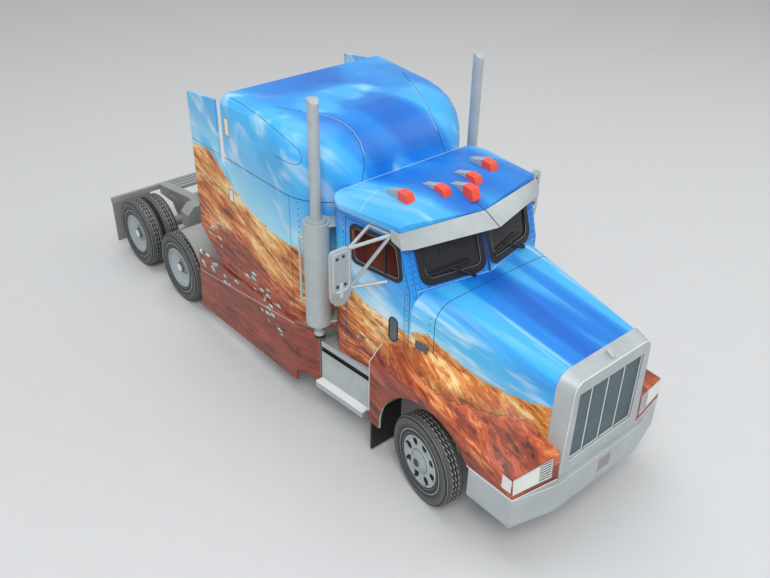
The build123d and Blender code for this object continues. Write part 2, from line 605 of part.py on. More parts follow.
fender = loft([wing_face(-FENDER_HALF, 1, 0, 0, 0, None), wing_face(-FENDER_INNER_X, 2, FENDER_NOSE, 0, 0,
                                                                    None)],
              ruled=True)
fender -= loft([wing_face(-FENDER_HALF + CARD, 1, 0, CARD, CARD, 0),
                wing_face(-FENDER_INNER_X + 4, 2, FENDER_NOSE, CARD * 1.4, CARD, 0)], ruled=True)
fender += block(-FENDER_HALF + CARD / 2, -34.0, FENDER_REAR_Y - CARD, FENDER_REAR_Y, FENDER_Z0, 52.0)
fender -= rod((-60, ARCH_Y, TYRE_R), (-FENDER_INNER_X + 2, ARCH_Y, TYRE_R), ARCH_R)
fender -= block(-60, -20, ARCH_Y - ARCH_R + 4.6, ARCH_Y + ARCH_R, -20, TYRE_R)
fender -= hood_form(COWL_Y, HOOD_FRONT_Y, -0.05, 10)
fender -= cab_form(-0.05, bottom=10)

# A wedge lamp fills each fender's front corner above the lip
def lamp_face(x, y, z):
    points = [(y + 3.6, LIP_Z), (y - 0.5, LIP_Z), (y, z), (y + 3.6, z)]
    return face_on(Plane((x, 0, 0), x_dir=(0, 1, 0), z_dir=(1, 0, 0)), points)


LAMP_IN = 28.8
lean_y = FENDER_FRONT_Y - FENDER_NOSE * (FENDER_HALF - LAMP_IN) / (FENDER_HALF - FENDER_INNER_X)
lamp = loft([lamp_face(-FENDER_HALF + 0.1, FENDER_FRONT_Y - 0.15, LIP_Z + LENS_OUTER_H),
             lamp_face(-LAMP_IN, lean_y - 0.15, LIP_Z + LENS_INNER_H)], ruled=True)
save("headlamps", pair(lamp))
save("fenders", pair(fender - lamp - surround_outer - bumper))

# Steps between fender and side fairing, with a dark slot along the top
STEP_REAR_Y = 75.5
STEP_FRONT_Y = 43.0
STEP_REAR_X = 46.0
STEP_FRONT_X = 43.5
SLOT_Z0 = CAB_Z0 - 5.7
SLOT_Z1 = CAB_Z0 - 3.1


def step_part(out, inner, z0, z1, by=0.0):
    return prism(Plane.XY, [(-STEP_REAR_X - out, STEP_REAR_Y + by), (-STEP_FRONT_X - out, STEP_FRONT_Y - by),
                            (-inner, STEP_FRONT_Y - by), (-inner, STEP_REAR_Y + by)], z0, z1)


step = step_part(0, RAIL_OUT, 20.0, CAB_Z0) + step_part(4.0, 40.0, 16.5, 20.0)
step -= step_part(1.0, RAIL_OUT, SLOT_Z0, SLOT_Z1, 0.5) - step_part(-0.9, RAIL_OUT, SLOT_Z0, SLOT_Z1, 2.0)
save("step_boxes", pair(step))

# Side fairings below the sleeper
FAIR_FRONT_Y = 91.0
FAIR_X = 50.5
FAIR_REAR_Y = 184.0
fairing_side = [(FAIR_FRONT_Y, 11.0), (FAIR_FRONT_Y, SLEEPER_Z0), (FAIR_REAR_Y - 3.3, SLEEPER_Z0),
                (FAIR_REAR_Y, 8.0)]
fairing = prism(Plane.YZ, fairing_side, -FAIR_X, -FAIR_X + CARD)
fairing += prism(Plane.XY, [(-FAIR_X, FAIR_FRONT_Y), (-46.2, 76.6), (-45.2, 77.2), (-FAIR_X + CARD,
                                                                                    FAIR_FRONT_Y)],
                 18.0, SLEEPER_Z0 - 1.0)
for y in (110.0, 165.0):
    fairing += block(-FAIR_X + 0.5, -RAIL_OUT, y, y + 2.0, 32.0, 38.0)
save("side_fairings", pair(fairing))
FLAP_Y = FENDER_REAR_Y - 2.4
flap_in = 30.0
flap = block(-FENDER_HALF, -flap_in, FLAP_Y, FLAP_Y + 1.15, 2.5, FENDER_Z0 - 0.1)
flap += block(-FENDER_HALF + CARD + 0.1, -flap_in, FLAP_Y, FLAP_Y + 1.15, FENDER_Z0 - 0.1, FENDER_Z0 + 5.0)
save("front_mud_flaps", pair(flap))

# Sleeper: one rounded form, split into body and roof at the seam
def drawn_in(z, radius, inset):
    """How far a rounded top edge has come in at a height."""
    radius -= inset
    over = max(0.0, z - (SLEEPER_TOP - inset - radius))
    return radius - math.sqrt(max(0.0, radius ** 2 - over ** 2))


def sleeper_plan(z, inset):
    """The sleeper's outline at a height: a wide brow in front, tighter shoulders at the rear."""
    front_y = CAB_REAR_Y + inset + drawn_in(z, SLEEPER_BROW_R, inset)
    front_x = SLEEPER_HALF - inset - drawn_in(z, SLEEPER_FRONT_SHOULDER, inset)
    rear_x = SLEEPER_HALF - inset - drawn_in(z, SLEEPER_REAR_SHOULDER, inset)
    rear_y = SLEEPER_REAR_Y - inset
    plan = make_face(Polyline((-rear_x, rear_y), (rear_x, rear_y), (front_x, front_y), (-front_x, front_y),
                              close=True))
    plan = fillet(plan.vertices().group_by(Axis.Y)[0], SLEEPER_CORNER_R - inset)
    return Pos(0, 0, z) * plan


def sleeper_form(inset):
    brow = SLEEPER_BROW_R - inset
    brow_z = SLEEPER_TOP - inset - brow
    heights = [SLEEPER_Z0 + inset, brow_z]
    for degrees in (14, 28, 42, 55, 67, 78, 90):
        heights.append(brow_z + brow * math.sin(math.radians(degrees)))
    return loft([sleeper_plan(z, inset) for z in heights], ruled=True)


sleeper = sleeper_form(0) - sleeper_form(CARD)
below = block(-80, 80, 0, 200, 0, SLEEPER_SEAM_Z)
above = block(-80, 80, 0, 200, SLEEPER_SEAM_Z, 200)
feet = block(-RAIL_OUT, -RAIL_OUT + RAIL_W, 80, 140, RAIL_Z1, SLEEPER_Z0)
save("sleeper_shell", (sleeper & below) + feet + mirror(feet, about=Plane.YZ))
save("sleeper_roof", sleeper & above)

# Side extenders close the gap to a trailer
EXT_REAR_Y = 176.0
ext_side = [(SLEEPER_REAR_Y, SLEEPER_Z0), (157.0, SLEEPER_Z0), (EXT_REAR_Y, 63.0), (EXT_REAR_Y, 137.0),
            (150.0, 140.0), (150.0, 110.0), (SLEEPER_REAR_Y, 108.0)]
save("side_extenders", pair(prism(Plane.YZ, ext_side, -SLEEPER_HALF, -SLEEPER_HALF + CARD)))

# Exhausts behind the cab: silencer, slash-cut pipe, elbow, grab rail and brackets
STACK_X = SLEEPER_HALF - 2.1
STACK_Y = CAB_REAR_Y + 3.7
SILENCER_R = 6.1
SILENCER_Z0 = 54.5
SILENCER_Z1 = 107.0
PIPE_R = 2.45
PIPE_TOP = 162.0
ELBOW_Z = CAB_Z0 + 5.0


def stack_rod(z0, z1, radius):
    return rod((-STACK_X, STACK_Y, z0), (-STACK_X, STACK_Y, z1), radius)


pipe = stack_rod(SILENCER_Z1 - 1, PIPE_TOP, PIPE_R)
pipe -= prism(Plane.YZ, [(STACK_Y - 10, PIPE_TOP - 8), (STACK_Y - 10, PIPE_TOP + 8), (STACK_Y + 10,
                                                                                      PIPE_TOP + 8)], -60,
              -30)
stack = stack_rod(SILENCER_Z0, SILENCER_Z1, SILENCER_R) + stack_rod(SILENCER_Z1 - 1, SILENCER_Z1 + 1.2,
                                                                    SILENCER_R - 1.6)
stack += pipe + stack_rod(ELBOW_Z + 3.0, SILENCER_Z0 + 1, 2.2) + stack_rod(ELBOW_Z - 0.8, ELBOW_Z + 3.2, 2.7)
RAIL_AT = (-STACK_X - 5.4, STACK_Y + 5.6)
REST_AT = (-STACK_X - 3.6, STACK_Y + 3.7)
GRAB_Z0 = 66.0
GRAB_Z1 = 99.0
stack += rod((*RAIL_AT, GRAB_Z0), (*RAIL_AT, GRAB_Z1), 0.6)
for z in (GRAB_Z0 + 0.5, GRAB_Z1 - 0.5):
    stack += rod((*RAIL_AT, z), (*REST_AT, z), 0.5)
save("exhaust_stacks", pair(stack))
bracket_plan = [(-STACK_X + 1, STACK_Y - 5), (-STACK_X + 9, STACK_Y - 9), (-STACK_X + 15, STACK_Y - 3),
                (-STACK_X + 12, STACK_Y + 8), (-STACK_X + 1, STACK_Y + 7)]
brackets = []
for z in (SILENCER_Z1 - 1.6, SILENCER_Z0 + 1.0):
    plate = prism(Plane.XY, bracket_plan, z, z + 1.0) - stack_rod(0, 200, SILENCER_R)
    plate = plate - cab_form(0) - sleeper_form(0)
    brackets.append(plate)
save("exhaust_brackets", *[pair(b) for b in brackets])

# Mirrors: a flat head with a round foot, on a lattice of thin bars
HEAD_Y = 43.4
HEAD_T = 2.0
HEAD_W = 10.3
HEAD_IN = 52.9
HEAD_OUT = HEAD_IN + HEAD_W
HEAD_Z0 = 89.0
HEAD_Z1 = 110.5
BAR_R = 0.65
head_face = face_on(cross_section(HEAD_Y + HEAD_T), [(-HEAD_OUT, HEAD_Z0), (-HEAD_OUT, HEAD_Z1), (-HEAD_IN,
                                                                                                  HEAD_Z1),
                                                     (-HEAD_IN, HEAD_Z0)])
head = extrude(fillet(head_face.vertices().group_by(Axis.Z)[-1], HEAD_W / 5), amount=HEAD_T)
foot_x = (HEAD_OUT + HEAD_IN) / 2
foot_face = cross_section(HEAD_Y + HEAD_T - 0.3) * Pos(-foot_x,
                                                       HEAD_Z0) * Circle((HEAD_OUT - HEAD_IN) / 2 - 0.05)
head += extrude(foot_face, amount=HEAD_T - 0.6)
save("mirror_heads", pair(head))


def on_side(y, z):
    """A point on the cab's right-hand side."""
    return (-side_x(y), y, z)


head_top = (-HEAD_IN - 0.3, HEAD_Y + 1, HEAD_Z1 - 1.2)
head_low = (-HEAD_IN - 0.3, HEAD_Y + 1, HEAD_Z0 + 1.5)
UPPER_REAR = on_side(45.5, EAVES_Z - 1.6)
UPPER_FRONT = on_side(34.0, EAVES_Z - 1.8)
LOWER_FRONT = on_side(35.5, BELT_Z + 0.6)
arm = rod(UPPER_REAR, head_top, BAR_R)
for start, end in ((UPPER_FRONT, head_top), (UPPER_FRONT, head_low), (LOWER_FRONT, head_low), (UPPER_FRONT,
                                                                                               UPPER_REAR)):
    arm += rod(start, end, BAR_R)
arm -= cab_form(0)
arm -= cab_form(-FRAME_PROUD - 0.05, top=EAVES_Z - 2.6, bottom=BELT_Z + 1.0)
arm = arm - head - roof - visor_side
save("mirror_arms", pair(arm))

# Wipers lie on the two leaves of the windscreen
def on_screen(x, z, off):
    """A point ahead of the windscreen, off being its distance from the glass."""
    return (x, SCREEN_NOSE_Y + SCREEN_SWEEP * abs(x) + SCREEN_LEAN * (z - BELT_Z) - off, z)


WIPERS = [(-9.0, -30.0, -9.5), (25.0, 4.0, 24.0)]  # pivot, blade's right end, blade's left end, all across
wipers = []
for pivot, right, left in WIPERS:
    middle = (right + left) / 2
    wiper = rod(on_screen(pivot, BELT_Z + 1.2, 1.5), on_screen(middle, BELT_Z + 7.0, 1.5), 0.5)
    wiper += rod(on_screen(right, BELT_Z + 6.2, 1.3), on_screen(left, BELT_Z + 7.8, 1.3), 0.55)
    wiper += rod(on_screen(pivot, BELT_Z + 1.2, 0.47), on_screen(pivot, BELT_Z + 1.2, 2.0), 0.9)
    wipers.append(wiper)
save("wipers", wipers)
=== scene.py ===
import bpy
import bmesh
import json
import math
from functools import partialmethod
from mathutils import Matrix, Vector
from mathutils.bvhtree import BVHTree

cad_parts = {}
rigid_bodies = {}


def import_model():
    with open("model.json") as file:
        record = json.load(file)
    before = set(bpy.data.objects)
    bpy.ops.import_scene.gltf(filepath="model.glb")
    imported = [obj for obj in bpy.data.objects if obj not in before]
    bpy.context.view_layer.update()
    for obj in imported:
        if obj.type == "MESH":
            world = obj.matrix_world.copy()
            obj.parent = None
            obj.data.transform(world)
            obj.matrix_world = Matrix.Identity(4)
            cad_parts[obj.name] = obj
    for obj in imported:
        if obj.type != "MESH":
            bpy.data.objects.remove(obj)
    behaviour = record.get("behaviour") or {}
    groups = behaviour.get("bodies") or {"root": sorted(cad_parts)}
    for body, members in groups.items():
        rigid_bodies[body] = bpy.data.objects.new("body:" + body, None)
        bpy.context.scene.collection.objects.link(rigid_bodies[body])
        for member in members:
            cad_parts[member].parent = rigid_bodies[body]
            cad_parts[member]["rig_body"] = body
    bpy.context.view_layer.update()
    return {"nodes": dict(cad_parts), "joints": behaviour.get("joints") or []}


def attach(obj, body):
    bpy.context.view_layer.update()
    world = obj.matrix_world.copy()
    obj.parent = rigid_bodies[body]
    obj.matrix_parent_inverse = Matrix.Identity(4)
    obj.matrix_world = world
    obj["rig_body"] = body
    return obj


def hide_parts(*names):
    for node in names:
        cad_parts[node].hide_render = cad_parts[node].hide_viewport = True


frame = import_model()
nodes = frame["nodes"]


def mm(x, y, z):
    # millimetres from the front axle's middle on the ground, to the model's own metres
    return Vector((x / 1000, (y - 117) / 1000, z / 1000))


def paint(colour):
    # a code for a colour as seen on a screen, to the linear value a shader wants; anything else stays as it is
    if not isinstance(colour, str):
        return colour
    channels = [int(colour[i:i + 2], 16) / 255 for i in (1, 3, 5)]
    return tuple([c / 12.92 if c < 0.04045 else ((c + 0.055) / 1.055) ** 2.4 for c in channels] + [1])


class Wire:
    # a value in a node tree: a sum or comparison on it adds a math node
    def __init__(self, socket):
        self.socket = socket
        self.tree = socket.id_data

    def combine(self, operation, *others):
        return calc(operation, self, *others)

    def __rsub__(self, number):
        return calc("SUBTRACT", number, self)

    __add__ = partialmethod(combine, "ADD")
    __sub__ = partialmethod(combine, "SUBTRACT")
    __mul__ = partialmethod(combine, "MULTIPLY")
    __truediv__ = partialmethod(combine, "DIVIDE")
    __lt__ = partialmethod(combine, "LESS_THAN")
    __gt__ = partialmethod(combine, "GREATER_THAN")
    __abs__ = partialmethod(combine, "ABSOLUTE")


# small helpers for node trees
def plug(node, values):
    # each input is told by its name, or by its number as i0, i1 and so on
    for key, value in values.items():
        socket = node.inputs[int(key[1:]) if key[1:].isdigit() else key]
        value = getattr(value, "socket", value)
        if isinstance(value, bpy.types.NodeSocket):
            node.id_data.links.new(value, socket)
        else:
            socket.default_value = value
    return node


def addNode(tree, kind, options=None, **links):
    node = tree.nodes.new(kind)
    for key, value in (options or {}).items():
        setattr(node, key, value)
    return plug(node, links)


def calc(operation, *values):
    tree = next(value.tree for value in values if isinstance(value, Wire))
    links = {f"i{k}": value for k, value in enumerate(values)}
    return Wire(addNode(tree, "ShaderNodeMath", {"operation": operation}, **links).outputs[0])


def arrow(operation, first, second=None, scale=None):
    # sums on directions and places
    links = {"i0": first} if second is None else {"i0": first, "i1": second}
    if scale is not None:
        links["Scale"] = scale
    node = addNode(first.tree, "ShaderNodeVectorMath", {"operation": operation}, **links)
    return Wire(node.outputs["Value" if operation == "DOT_PRODUCT" else "Vector"])


def noise(place, scale, detail=2.0, rough=0.5, warp=0.0):
    node = addNode(place.tree, "ShaderNodeTexNoise", Vector=place, Scale=scale, Detail=detail, Roughness=rough,
                   Distortion=warp)
    return Wire(node.outputs[0])


def spread(value, low, high, first=0.0, last=1.0, smooth=False):
    # low to high in the value becomes first to last, and no further
    options = {"clamp": True, "interpolation_type": "SMOOTHSTEP" if smooth else "LINEAR"}
    node = addNode(value.tree, "ShaderNodeMapRange", options, Value=value, i1=low, i2=high, i3=first, i4=last)
    return Wire(node.outputs[0])


def splitAxes(place):
    return [Wire(out) for out in addNode(place.tree, "ShaderNodeSeparateXYZ", Vector=place).outputs]


def joinAxes(x, y, z=0.0):
    return Wire(addNode(x.tree, "ShaderNodeCombineXYZ", X=x, Y=y, Z=z).outputs[0])


def ramp(factor, stops):
    node = addNode(factor.tree, "ShaderNodeValToRGB", Fac=factor)
    while len(node.color_ramp.elements) < len(stops):
        node.color_ramp.elements.new(0.5)
    for element, (place, colour) in zip(node.color_ramp.elements, stops):
        element.position = place
        element.color = paint(colour)
    return Wire(node.outputs["Color"])


def blend(factor, first, second):
    node = addNode(factor.tree, "ShaderNodeMix", {"data_type": "RGBA"}, i0=factor, i6=first, i7=paint(second))
    return Wire(node.outputs[2])


def newGroup(name, inputs, outputs):
    # inputs: the name and the start value, or None for a place or direction; outputs: the names, colours by that name
    tree = bpy.data.node_groups.new(name, "ShaderNodeTree")
    for label, value in inputs.items():
        kind = "NodeSocketVector" if value is None else "NodeSocketFloat"
        socket = tree.interface.new_socket(label, in_out="INPUT", socket_type=kind)
        if value is not None:
            socket.default_value = value
    for label in outputs:
        kind = "NodeSocketColor" if label == "Color" else "NodeSocketFloat"
        tree.interface.new_socket(label, in_out="OUTPUT", socket_type=kind)
    return tree, {out.name: Wire(out) for out in tree.nodes.new("NodeGroupInput").outputs if out.name}


def closeGroup(tree, **results):
    plug(tree.nodes.new("NodeGroupOutput"), results)
    return tree


def useGroup(group, **links):
    node = addNode(links["Place"].tree, "ShaderNodeGroup", {"node_tree": group}, **links)
    return {out.name: Wire(out) for out in node.outputs}


# paper fibre: a fine grain that tints and lifts every card surface
def makePaperGrain():
    tree, given = newGroup("paperGrain", {"Place": None, "Size": 1.0}, ["Tint", "Height", "Scuff"])
    sized = arrow("SCALE", given["Place"], scale=given["Size"])
    fibre = noise(sized, 2600.0, 3.0, 0.6)
    cloud = noise(sized, 90.0, 4.0, 0.55)
    scratch = noise(sized, 420.0, 5.0, 0.7)
    return closeGroup(tree, Tint=fibre * 0.6 + cloud * 0.4, Height=fibre, Scuff=spread(scratch, 0.66, 0.74))


paperGrain = makePaperGrain()


def newMaterial(name, size=1.0):
    material = bpy.data.materials.new(name)
    material.use_nodes = True
    tree = material.node_tree
    place = Wire(addNode(tree, "ShaderNodeTexCoord").outputs["Object"])
    return material, tree.nodes["Principled BSDF"], place, useGroup(paperGrain, Place=place, Size=size)


def paperSurface(shader, colour, grain, rough, lift, others=None):
    # what each printed surface gets: its colour, a roughness that varies and a raised fibre
    uneven = spread(grain["Tint"], 0.0, 1.0, *rough)
    raised = addNode(colour.tree, "ShaderNodeBump", Strength=lift, Distance=0.00005, Height=grain["Height"])
    plug(shader, {"Base Color": colour, "Roughness": uneven, "Normal": raised.outputs[0], **(others or {})})


# a printed card: its colour, roughness and mottle, and in a dictionary what differs from the plain card
def cardMaterial(name, tone, rough, mottle, look):
    material, shader, _, grain = newMaterial(name, look.get("grain", 1.0))
    base = paint(tone)
    darker = (*[c * (1 - mottle) for c in base[:3]], 1)
    lighter = (*[min(1, c * (1 + mottle * 0.8)) for c in base[:3]], 1)
    colour = ramp(grain["Tint"], [(0.36, darker), (0.64, lighter)])
    colour = blend(grain["Scuff"] * look.get("scuff", 0.2), colour, look.get("worn", "#dcdcd8"))
    shine = {"Metallic": look.get("metal", 0.0), "Coat Weight": look.get("coat", 0.0), "Coat Roughness": 0.25}
    paperSurface(shader, colour, grain, (rough - 0.07, rough + 0.07), look.get("bump", 0.25), shine)
    return material


cardLooks = {
    "silverCard": ("#b4bcbe", 0.42, 0.14, {"metal": 0.25, "scuff": 0.12}),
    "greyCard": ("#999c9a", 0.6, 0.1, {"scuff": 0.12}),
    "rimCard": ("#aab4b9", 0.45, 0.16, {"metal": 0.1, "scuff": 0.1}),
    # the rear flaps' own grey, painted darker as painted shade for the flaps that stand in shade
    "flapGrey": ("#878a88", 0.62, 0.12, {}),
    "blackCard": ("#1c1d1f", 0.55, 0.3, {"scuff": 0.1, "worn": "#5a5b5c"}),
    "grilleCard": ("#52646b", 0.6, 0.22, {"scuff": 0.12, "worn": "#8a959e"}),
    "redLens": ("#ff5036", 0.28, 0.1, {"coat": 0.5, "scuff": 0.05}),
    "lensWhite": ("#e4e6df", 0.25, 0.12, {"coat": 0.5, "metal": 0.15, "scuff": 0.05}),
    # the cabin and seat cards: the cab's own orange brown, painted much paler as painted light for the shaded inside
    # of the cab
    "cabinCard": ("#f0825e", 0.7, 0.25, {}),
    "seatCard": ("#dc7658", 0.75, 0.12, {}),
    "cutEdge": ("#e9ebec", 0.8, 0.06, {"scuff": 0.0}),
    "inkLine": ("#22365e", 0.6, 0.2, {"scuff": 0.0}),
    "rivetInk": ("#24407c", 0.5, 0.1, {"scuff": 0.0}),
    "insideCard": ("#c3c1ba", 0.8, 0.1, {}),
    "plateCard": ("#97938f", 0.55, 0.1, {}),
    "edgeSilver": ("#cfd5d6", 0.5, 0.08, {"scuff": 0.1}),
    "peepCard": ("#71858c", 0.3, 0.3, {"grain": 0.3, "coat": 0.4}),
    "hubDark": ("#3a3d40", 0.6, 0.2, {}),
}
cards = {name: cardMaterial(name, *look) for name, look in cardLooks.items()}
print("card finishes made:", len(cards))


# the printed sky: deep blue overhead, pale at the skyline, with long soft streaks of light and thin cloud
def makeSkyPrint():
    tree, given = newGroup("skyPrint", {"Place": None, "Above": 0.02, "Along": None, "Width": 55.0}, ["Color"])
    # squeeze the pattern along one direction, so that it draws out into streaks
    along = arrow("NORMALIZE", given["Along"])
    run = arrow("DOT_PRODUCT", given["Place"], along)
    squeezed = arrow("SUBTRACT", given["Place"], arrow("SCALE", along, scale=run * 0.93))
    streaks = arrow("SCALE", squeezed, scale=given["Width"])
    broad = noise(streaks, 1.0, 1.5, 0.45)
    fine = noise(streaks, 2.6, 2.0, 0.5)
    height = spread(given["Above"], -0.002, 0.05)
    sky = ramp(height, [(0.0, "#d8f2fb"), (0.13, "#9fe0fb"), (0.3, "#52c2fb"), (0.5, "#2a9ff2"), (0.75, "#1888e6"),
                        (1.0, "#0c76da")])
    dusk = spread(broad, 0.49, 0.38, smooth=True)
    glow = spread(broad, 0.5, 0.62, smooth=True)
    thin = spread(fine, 0.5, 0.72, smooth=True)
    sky = blend(dusk * (height * 0.75), sky, "#0a5fc4")
    sky = blend(glow * 0.75, sky, "#4cc0fb")
    sky = blend(thin * glow * 0.65, sky, "#b4ecfe")
    low = spread(given["Above"], 0.028, 0.004)
    return closeGroup(tree, Color=blend(thin * low * 0.85, sky, "#f2fafc"))


# one row of printed dunes: a skyline of overlapping humps, filled with short strokes that lean along the slope
def makeDuneRow():
    start = {"Place": None, "Skyline": 0.06, "Hump": 0.006, "Pace": 40.0, "Shift": 0.0, "Lean": 0.3, "Stroke": 1.0}
    tree, given = newGroup("duneRow", start, ["Mask", "Depth", "Stroke", "Patch"])
    x, y, z = splitAxes(given["Place"])
    outward = abs(x)
    side = calc("SIGN", x) * 1.3
    turned = (y + outward) * given["Pace"] + given["Shift"] + side
    peak = 1.0 - abs(calc("SINE", turned))
    hump = abs(calc("SINE", turned * 0.37 + 0.8))
    ragged = noise(given["Place"], 260.0, 4.0, 0.6) - 0.5
    crest = (peak + hump * 0.9) * given["Hump"] + ragged * 0.0034
    depth = crest + given["Skyline"] - z
    run = (y + outward * 0.8) * given["Stroke"]
    height = z * given["Stroke"] - run * given["Lean"]
    stroke = noise(joinAxes(run * 120.0, height * 620.0, side), 1.0, 4.0, 0.66, 0.7)
    patch = noise(joinAxes(run * 42.0, height * 120.0, side + 4.0), 1.0, 3.0, 0.6, 0.4)
    return closeGroup(tree, Mask=spread(depth, -0.00008, 0.00008), Depth=depth, Stroke=stroke, Patch=patch)


# loose pebbles: rounded cells, lit from above, with a dark rim
def makePebbles():
    tree, given = newGroup("pebbles", {"Place": None, "Size": 300.0, "Share": 0.5}, ["Mask", "Color"])
    x, y, z = splitAxes(given["Place"])
    wobble = noise(given["Place"], 700.0, 3.0) - 0.5
    height = z * given["Size"]
    cells = addNode(tree, "ShaderNodeTexVoronoi", {"voronoi_dimensions": "2D"}, Scale=1.0, Randomness=0.95,
                    Vector=joinAxes((y + abs(x)) * (given["Size"] * 0.62), height)).outputs
    reach = Wire(cells["Distance"]) + wobble * 0.5
    chance = Wire(addNode(tree, "ShaderNodeSeparateColor", Color=cells["Color"]).outputs[0])
    mask = (chance < given["Share"]) * spread(reach, 0.46, 0.42)
    lit = height - splitAxes(Wire(cells["Position"]))[1] + wobble * 0.9
    colour = ramp(spread(lit, -0.4, 0.4), [(0.0, "#3f3a35"), (0.35, "#7d7d78"), (0.6, "#c9c9c2"), (1.0, "#eceae2")])
    return closeGroup(tree, Mask=mask, Color=blend(spread(reach, 0.34, 0.42) * 0.8, colour, "#2d2623"))


skyPrint = makeSkyPrint()
duneRow = makeDuneRow()
pebbles = makePebbles()

# dune rows from the far one to the near one: drop below the skyline, hump height, pace, shift, lean of the
# strokes, their size, and the inks from dark to pale
duneRows = [
    (-0.001, 0.0062, 44.0, 0.4, 0.36, 1.1, ("#8f3f1c", "#cf7a37", "#eaa85a", "#f8d998", "#fbeabf")),
    (0.01, 0.005, 31.0, 1.9, 0.28, 1.0, ("#7c3417", "#c9692d", "#e5944a", "#f5c57c", "#fbe0a4")),
    (0.024, 0.0052, 23.0, 0.9, 0.14, 0.9, ("#451d12", "#8d3a1e", "#b9532b", "#d9783f", "#eda566")),
    (0.04, 0.0044, 27.0, 2.6, 0.04, 0.8, ("#5a271b", "#8f3d29", "#a24a34", "#b3583f", "#c47252")),
]
inkStops = ((0.50, 0), (0.57, 1), (0.63, 1), (0.655, 2), (0.72, 2), (0.745, 3), (0.84, 4))
evenTone = 0.67


def addDunes(colour, place, skyline, row, look):
    drop, hump, pace, shift, lean, size, inks = row
    calm = look.get("calm", 1.0)
    dune = useGroup(duneRow, Place=place, Skyline=skyline - drop * look.get("squeeze", 1.0), Pace=pace, Stroke=size,
                    Hump=hump * look.get("humps", 1.0), Shift=shift + look.get("shift", 0.0),
                    Lean=lean + look.get("lean", 0.0))
    # the row behind falls into shade just above this one
    shade = spread(dune["Depth"], -0.0035, 0.0, 0.0, 0.0 if row is duneRows[0] else 0.5)
    colour = blend(shade, colour, inks[0])
    tone = (dune["Patch"] * 0.75 + dune["Stroke"] * 0.62) * calm + evenTone * (1 - calm)
    tone = tone - spread(dune["Depth"], 0.0, 0.02, 0.0, 0.07)
    sand = ramp(tone, [(stop, inks[number]) for stop, number in inkStops])
    sand = blend(spread(dune["Stroke"], 0.42, 0.36, 0.0, 0.8), sand, inks[0])
    sand = blend(spread(dune["Depth"], 0.0012, 0.0002, 0.0, 0.6), sand, inks[3])
    sand = blend(spread(dune["Depth"], 0.00045, 0.0001, 0.0, 0.7), sand, inks[0])
    return blend(dune["Mask"], colour, sand)


def addPebbles(colour, place, below, strip):
    # below is the depth under the skyline; the strip wanders, and only some clumps of it hold stones
    stones = useGroup(pebbles, Place=place, Size=strip["size"], Share=strip["share"])
    wander = noise(place, strip["clump"], 1.0) - 0.5
    band = abs(below - strip["drop"] + wander * 0.012) < strip["half"]
    clump = noise(place, strip["clump"] * 1.7, 1.0) > 0.5
    return blend(band * clump * stones["Mask"], colour, stones["Color"])


def muralMaterial(name, look):
    material, shader, place, grain = newMaterial(name)
    x, y, z = splitAxes(place)
    skyline = y * look["tilt"] + look["skyline"]
    centre = (look["half"] - abs(x)) * look["crown"]
    above = (z - skyline + centre) * look.get("fade", 1.0)
    colour = useGroup(skyPrint, Place=place, Above=above, Along=look["along"], Width=look["streaks"])["Color"]
    for row in duneRows:
        colour = addDunes(colour, place, skyline, row, look)
    for strip in look.get("pebbles", []):
        colour = addPebbles(colour, place, skyline - z, strip)
    colour = blend(spread(grain["Tint"], 0.3, 0.7, 0.0, 0.12), colour, "#10151f")
    colour = blend(grain["Scuff"] * 0.08, colour, "#dfe6ea")
    paperSurface(shader, colour, grain, (0.3, 0.46), 0.12, {"Coat Weight": 0.1, "Coat Roughness": 0.3})
    return material


# skyline: its height in metres at the middle of the model's length, tilt: its rise towards the rear, half and
# crown: how much further the middle of the truck lies from the skyline, fade: how soon the blue deepens
muralLooks = {
    "cabMural": {"fade": 0.8, "skyline": 0.107, "tilt": 0.46, "half": 0.045, "crown": 0.35,
                 "along": (0.3, -0.8, -0.35), "streaks": 42.0, "humps": 0.7,
                 "pebbles": [{"drop": 0.021, "half": 0.0055, "size": 300.0, "share": 0.7, "clump": 46.0}]},
    "roofMural": {"skyline": 0.101, "tilt": 0.0, "half": 0.045, "crown": 1.0, "along": (0.2, -0.9, 0.0),
                  "streaks": 34.0},
    "hoodMural": {"fade": 0.5, "skyline": 0.083, "tilt": 0.17, "half": 0.036, "crown": 2.2,
                  "along": (0.0, -1.0, -0.16), "streaks": 80.0, "shift": 0.7, "humps": 1.15},
    "fenderMural": {"skyline": 0.098, "tilt": 0.18, "half": 0.04, "crown": 0.0, "along": (0.0, -1.0, 0.0),
                    "streaks": 60.0, "squeeze": 0.8, "lean": 0.15},
    "sleeperMural": {"fade": 0.3, "skyline": 0.0805, "tilt": 0.32, "half": 0.049, "crown": 1.5,
                     "along": (0.5, -0.75, -0.6), "streaks": 40.0, "humps": 1.5, "squeeze": 1.15,
                     "pebbles": [{"drop": 0.030, "half": 0.006, "size": 260.0, "share": 0.7, "clump": 40.0}]},
    "fairingMural": {"skyline": 0.083, "tilt": 0.10, "half": 0.05, "crown": 0.0, "along": (0.0, -1.0, 0.0),
                     "streaks": 40.0, "lean": -0.05, "squeeze": 0.75, "calm": 0.7,
                     "pebbles": [{"drop": 0.044, "half": 0.007, "size": 280.0, "share": 0.65, "clump": 34.0}]},
}
murals = {name: muralMaterial(name, look) for name, look in muralLooks.items()}
print("mural finishes made:", len(murals))

paneLook = {"grain": 0.2, "shades": [(0.3, (0.02, 0.021, 0.024, 1)), (0.7, (0.05, 0.05, 0.052, 1))],
            "gloss": (0.05, 0.14), "haze": (0.05, 0.12), "screenHalf": 0.036, "screenExtra": 0.75, "bend": 1.35}


